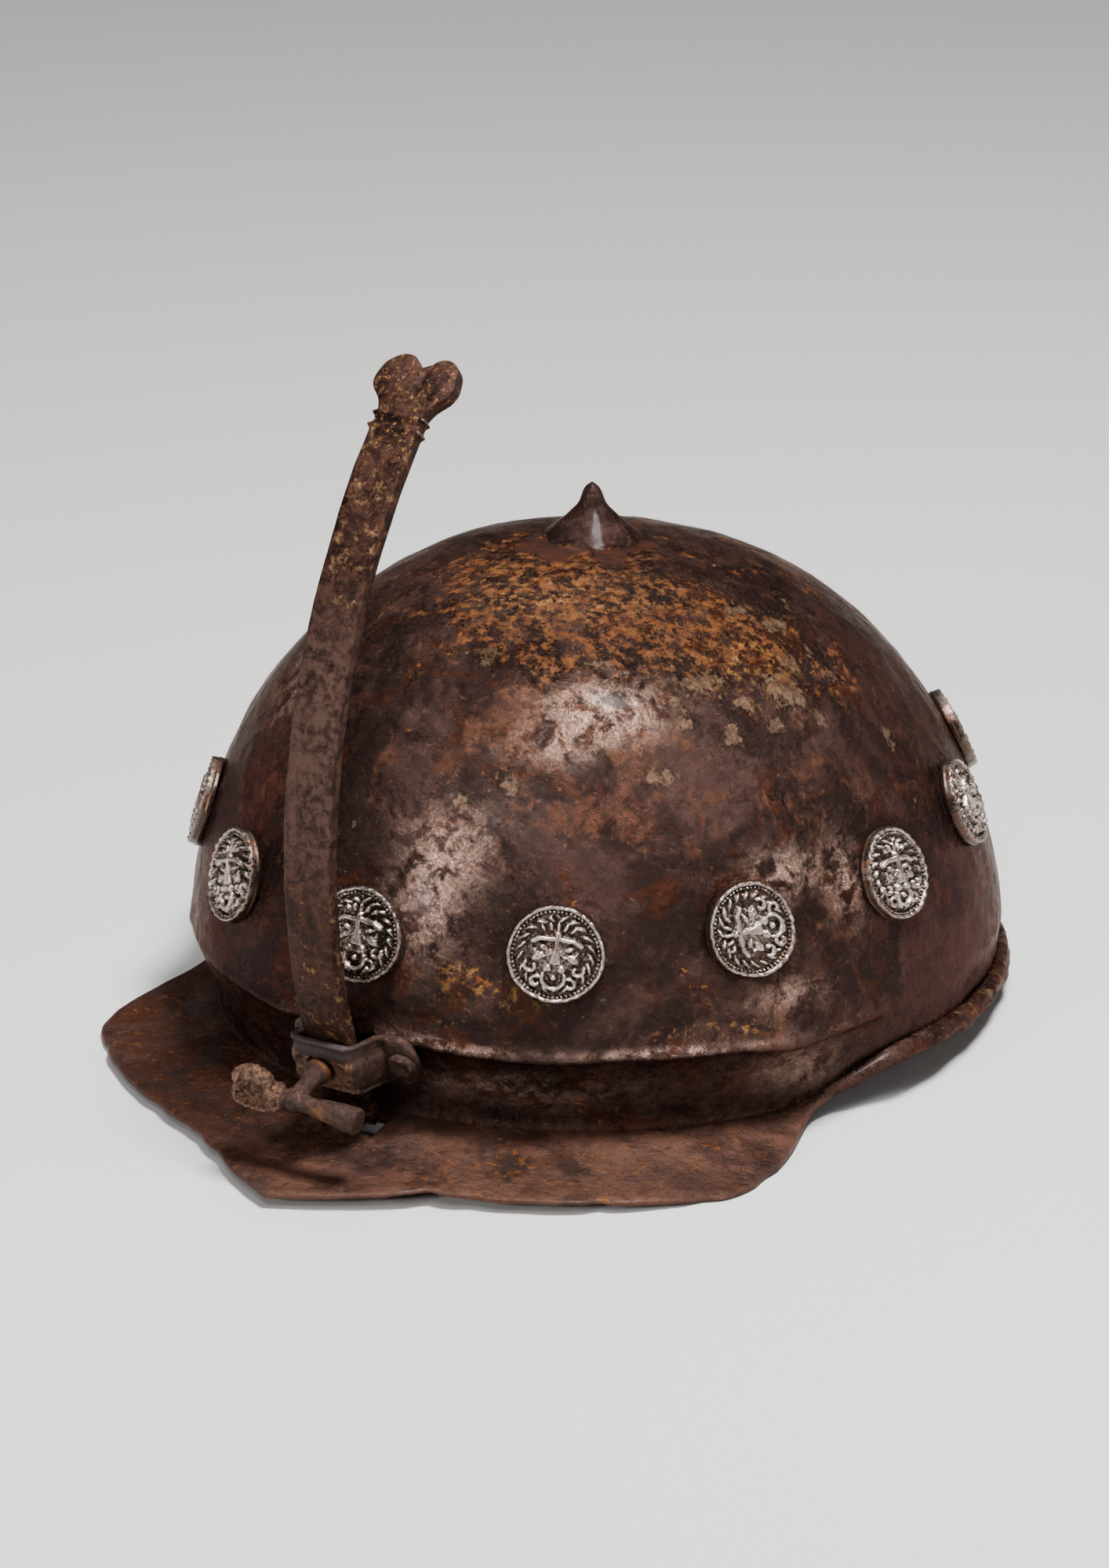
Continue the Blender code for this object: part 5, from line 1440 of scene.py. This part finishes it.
# Painted sheen: patches where the lamps' sheen falls, where the brown clouds gather
PAINTED_SHEEN_PATCHES = table(
    "angle height wide tall strength",
    (17, 88, 24, 14, 1.0),
    (40, 82, 26, 12, 0.9),
    (36, 99, 16, 10, 0.8),
    (75, 84, 18, 14, 0.5),
    (8, 58, 14, 12, 0.6),
    (-30, 70, 26, 20, 0.6),
    (62, 44, 10, 12, 0.5),
    (160, 85, 34, 20, 0.8),
    (-130, 90, 34, 16, 0.8),
)
GILT_PATCHES = table(
    "angle height wide tall strength",
    (17, 40, 9, 4, 0.8),
    (22, 35, 8, 3, 0.6),
    (50, 27, 14, 2, 0.8),
    (70, 106, 16, 6, 0.7),
    (20, 118, 26, 4, 0.8),
    (100, 9, 30, 4, 0.7),
    (140, 8, 40, 4, 0.5),
    (-110, 8, 50, 4, 0.5),
)
# Painted highlights: where the lamps' highlights fall on the crown, the brow, round a medallion, along the
# ridge and on the band
PAINTED_HIGHLIGHT_PATCHES = table(
    "angle height wide tall strength",
    (36, 99.5, 12, 5.5, 1.1),
    (26, 92, 10, 4, 0.5),
    (9, 58, 8, 13, 0.9),
    (13, 70, 10, 8, 0.5),
    (62, 62, 8, 5, 0.9),
    (72, 56, 5, 9, 0.9),
    (60, 33, 9, 4, 0.6),
    (12, 22.4, 16, 1.1, 0.7),
    (44, 22.4, 20, 1.1, 0.8),
    (22, 11, 26, 4, 0.35),
    (62, 12, 12, 6, 0.45),
    (-40, 90, 14, 8, 0.5),
    (170, 100, 14, 8, 0.6),
)
CHIPS = table(
    "angle height wide tall strength",
    (76, 98.9, 5.2, 4.0, 1.0),
    (58, 103.2, 6.5, 2.0, 0.9),
    (66, 98.2, 2.8, 2.0, 0.9),
    (45, 86.0, 4.4, 2.2, 0.9),
    (81, 114.0, 3.8, 1.6, 0.9),
    (88, 110.0, 4.0, 1.4, 0.9),
    (82, 104.0, 2.4, 1.8, 0.9),
    (60, 92.5, 3.4, 2.4, 0.9),
    (20, 84.0, 2.4, 2.2, 0.9),
    (12, 79.0, 2.6, 2.0, 0.9),
    (70, 93.0, 2.6, 1.8, 0.8),
    (80, 92.0, 2.2, 2.4, 0.8),
    (51, 97.0, 3.0, 1.8, 0.8),
    (90, 99.0, 2.6, 2.2, 0.8),
    (36, 108.0, 3.4, 1.6, 0.8),
    (8, 108.0, 3.6, 2.0, 0.8),
    (95, 82.0, 3.0, 2.6, 0.8),
    (-140, 88.0, 4.6, 3.2, 0.9),
    (150, 78.0, 4.0, 3.4, 0.9),
    (-70, 62.0, 3.8, 2.6, 0.9),
)
FLAKE_PATCHES = table(
    "angle height wide tall strength",
    (70, 98, 22, 12, 1.0),
    (45, 86, 16, 9, 0.8),
    (50, 104, 12, 6, 0.7),
    (17, 88, 14, 14, 0.6),
    (90, 108, 16, 8, 0.6),
    (100, 75, 14, 16, 0.5),
    (-120, 80, 30, 22, 0.8),
    (170, 70, 30, 20, 0.7),
)


def patch_values(angle, z, patches):
    """Strength of the named patches at each point, as bells over arc and height."""
    total = np.zeros(len(z))
    share = np.maximum(crown_share(z), 0.15)
    for patch in patches:
        turn = (np.degrees(angle) - patch["angle"] + 180) % 360 - 180
        arc = np.radians(turn) * HALF_WIDTH * share / (patch["wide"] * MM)
        rise = (z - patch["height"] * MM) / (patch["tall"] * MM)
        total += patch["strength"] * np.exp(-arc ** 2 - rise ** 2)
    return total


def chart_skull(piece):
    """Store where the skull's rust and flakes gather, where its painted highlights and painted sheen lie, and
    what of it is inside or underneath.
    """
    points = unlaid(read_points(piece))
    x, y, z = points.T
    angle = np.arctan2(x / HALF_WIDTH, (centre_y(z) - y) / HALF_LENGTH)
    size = np.hypot(x / HALF_WIDTH, (centre_y(z) - y) / HALF_LENGTH)
    store(piece, "rust", patch_values(angle, z, RUST_PATCHES) * (z > 0))
    store(piece, "flakes", patch_values(angle, z, FLAKE_PATCHES) * (z > 0))
    # Painted sheen: where the brown clouds gather
    store(piece, "painted_sheen", np.clip(patch_values(angle, z, PAINTED_SHEEN_PATCHES), 0, 1) * (z > 0))
    store(piece, "gilt", np.clip(patch_values(angle, z, GILT_PATCHES), 0, 1))
    # Painted highlight: where the bright warm metal is laid
    store(piece, "painted_highlight", np.clip(patch_values(angle, z, PAINTED_HIGHLIGHT_PATCHES), 0, 1))
    store(piece, "chips", patch_values(angle, z, CHIPS))
    store(piece, "peak", smooth(size, 0.93, 0.97) * smooth(-z, -3 * MM, 0))
    store(piece, "far", smooth(-np.degrees(angle), -6, 30))
    depth = (crown_share(z) - size) * HALF_WIDTH
    within = smooth(depth, 0.9 * MM, 1.5 * MM) * (z > BAND_HEIGHT)
    low = (z <= BAND_HEIGHT) * (size < 1 - (BAND_INSET + WALL * 0.6) / HALF_WIDTH)
    top = (z > BAND_HEIGHT) * (z < CROWN_HEIGHT - WALL * 0.6) * (size < 0.12)
    store(piece, "inside", np.clip(within + low + top, 0, 1))


def direction(azimuth, elevation):
    """Unit vector towards an azimuth, counted from the front to the wearer's left, and an elevation."""
    level = math.cos(elevation)
    return Vector((math.sin(azimuth) * level, -math.cos(azimuth) * level, math.sin(elevation)))


def place_lights():
    """Studio light: a strong box overhead, small ones low in front and to the right, soft ones elsewhere."""
    world = bpy.data.worlds.new("studio")
    world.use_nodes = True
    background = world.node_tree.nodes["Background"]
    background.inputs["Color"].default_value = (1.0, 0.97, 0.94, 1)
    background.inputs["Strength"].default_value = 0.09
    bpy.context.scene.world = world
    boxes = table(
        "name azimuth elevation distance size power",
        ("overhead", 76, 74, 1.1, 0.28, 38),
        ("front_left", -11, 18, 1.3, 0.20, 8),
        ("right", 99, 18, 1.3, 0.16, 3),
        ("over_camera", 18, 48, 1.5, 0.50, 6),
        ("backdrop", 211, 55, 4.2, 2.5, 38),
        ("back", 200, 55, 1.6, 0.60, 1.5),
    )
    for box in boxes:
        light = bpy.data.lights.new(box["name"], "AREA")
        light.size = box["size"]
        light.energy = box["power"]
        lamp = bpy.data.objects.new(box["name"], light)
        back = direction(math.radians(box["azimuth"]), math.radians(box["elevation"]))
        lamp.location = LIT_POINT + back * box["distance"]
        lamp.rotation_mode = "QUATERNION"
        lamp.rotation_quaternion = (-back).to_track_quat("-Z", "Y")
        bpy.context.scene.collection.objects.link(lamp)


def place_floor():
    """A plain pale floor that the helmet rests on."""
    mesh = bpy.data.meshes.new("floor")
    corners = [(x * FLOOR_REACH, y * FLOOR_REACH, 0) for x, y in ((-1, -1), (1, -1), (1, 1), (-1, 1))]
    mesh.from_pydata(corners, [], [(0, 1, 2, 3)])
    floor = bpy.data.objects.new("floor", mesh)
    bpy.context.scene.collection.objects.link(floor)
    f = Finish("pale_floor")
    floor.data.materials.append(f.done(Base_Color=(0.56, 0.55, 0.54, 1), Roughness=0.9))


def place_camera():
    """The camera at the photograph's angle to the resting helmet."""
    back = direction(CAMERA_AZIMUTH, CAMERA_ELEVATION)
    right = Vector((math.cos(CAMERA_AZIMUTH), math.sin(CAMERA_AZIMUTH), 0))
    data = bpy.data.cameras.new("photo_view")
    data.sensor_width = 36
    data.lens = CAMERA_LENS
    camera = bpy.data.objects.new("photo_view", data)
    place = Matrix((right, back.cross(right), back)).transposed().to_4x4()
    place.translation = CAMERA_TARGET + back * CAMERA_DISTANCE
    camera.matrix_world = place
    bpy.context.scene.collection.objects.link(camera)
    bpy.context.scene.camera = camera


def dress(piece, finish, body, node, passes, gain):
    """Give a piece its finish and wear, hang it on the body it rides on, and hide the model's part that it
    stands for.
    """
    piece.data.materials.clear()
    piece.data.materials.append(finish)
    measure_wear(piece, passes, gain)
    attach(piece, body)
    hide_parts(node)


def main():
    """Place the view, then make and dress each piece of the helmet."""
    place_camera()
    place_lights()
    place_floor()
    skull = make_skull()
    chart_skull(skull)
    dress(skull, skull_finish(), "helmet", "skull", 2, 4.0)
    dress(make_bar(), blade_finish(), "nasal", "nasal_bar", 1, 3.0)
    dress(make_staple(), fitting_finish("staple_steel", 0.05), "helmet", "staple", 1, 3.0)
    dress(make_screw(), fitting_finish("screw_steel", 0.06), "screw", "thumb_screw", 1, 3.0)
    rivet_steel = fitting_finish("rivet_steel", 0.04)
    for side, name in ((1, "left"), (-1, "right")):
        rivet = make_rivet(side, "rivet_curl_" + name)
        dress(rivet, rivet_steel, "helmet", "rivet_" + name, 1, 3.0)
    white_metal = medal_finish()
    for index, angle in enumerate(medallion_angles()):
        medal = make_medallion(index, angle, math.radians(MEDALLION_TURNS[index]))
        dress(medal, white_metal, "helmet", f"medallion_{index + 1:02d}", 1, 2.5)


main()
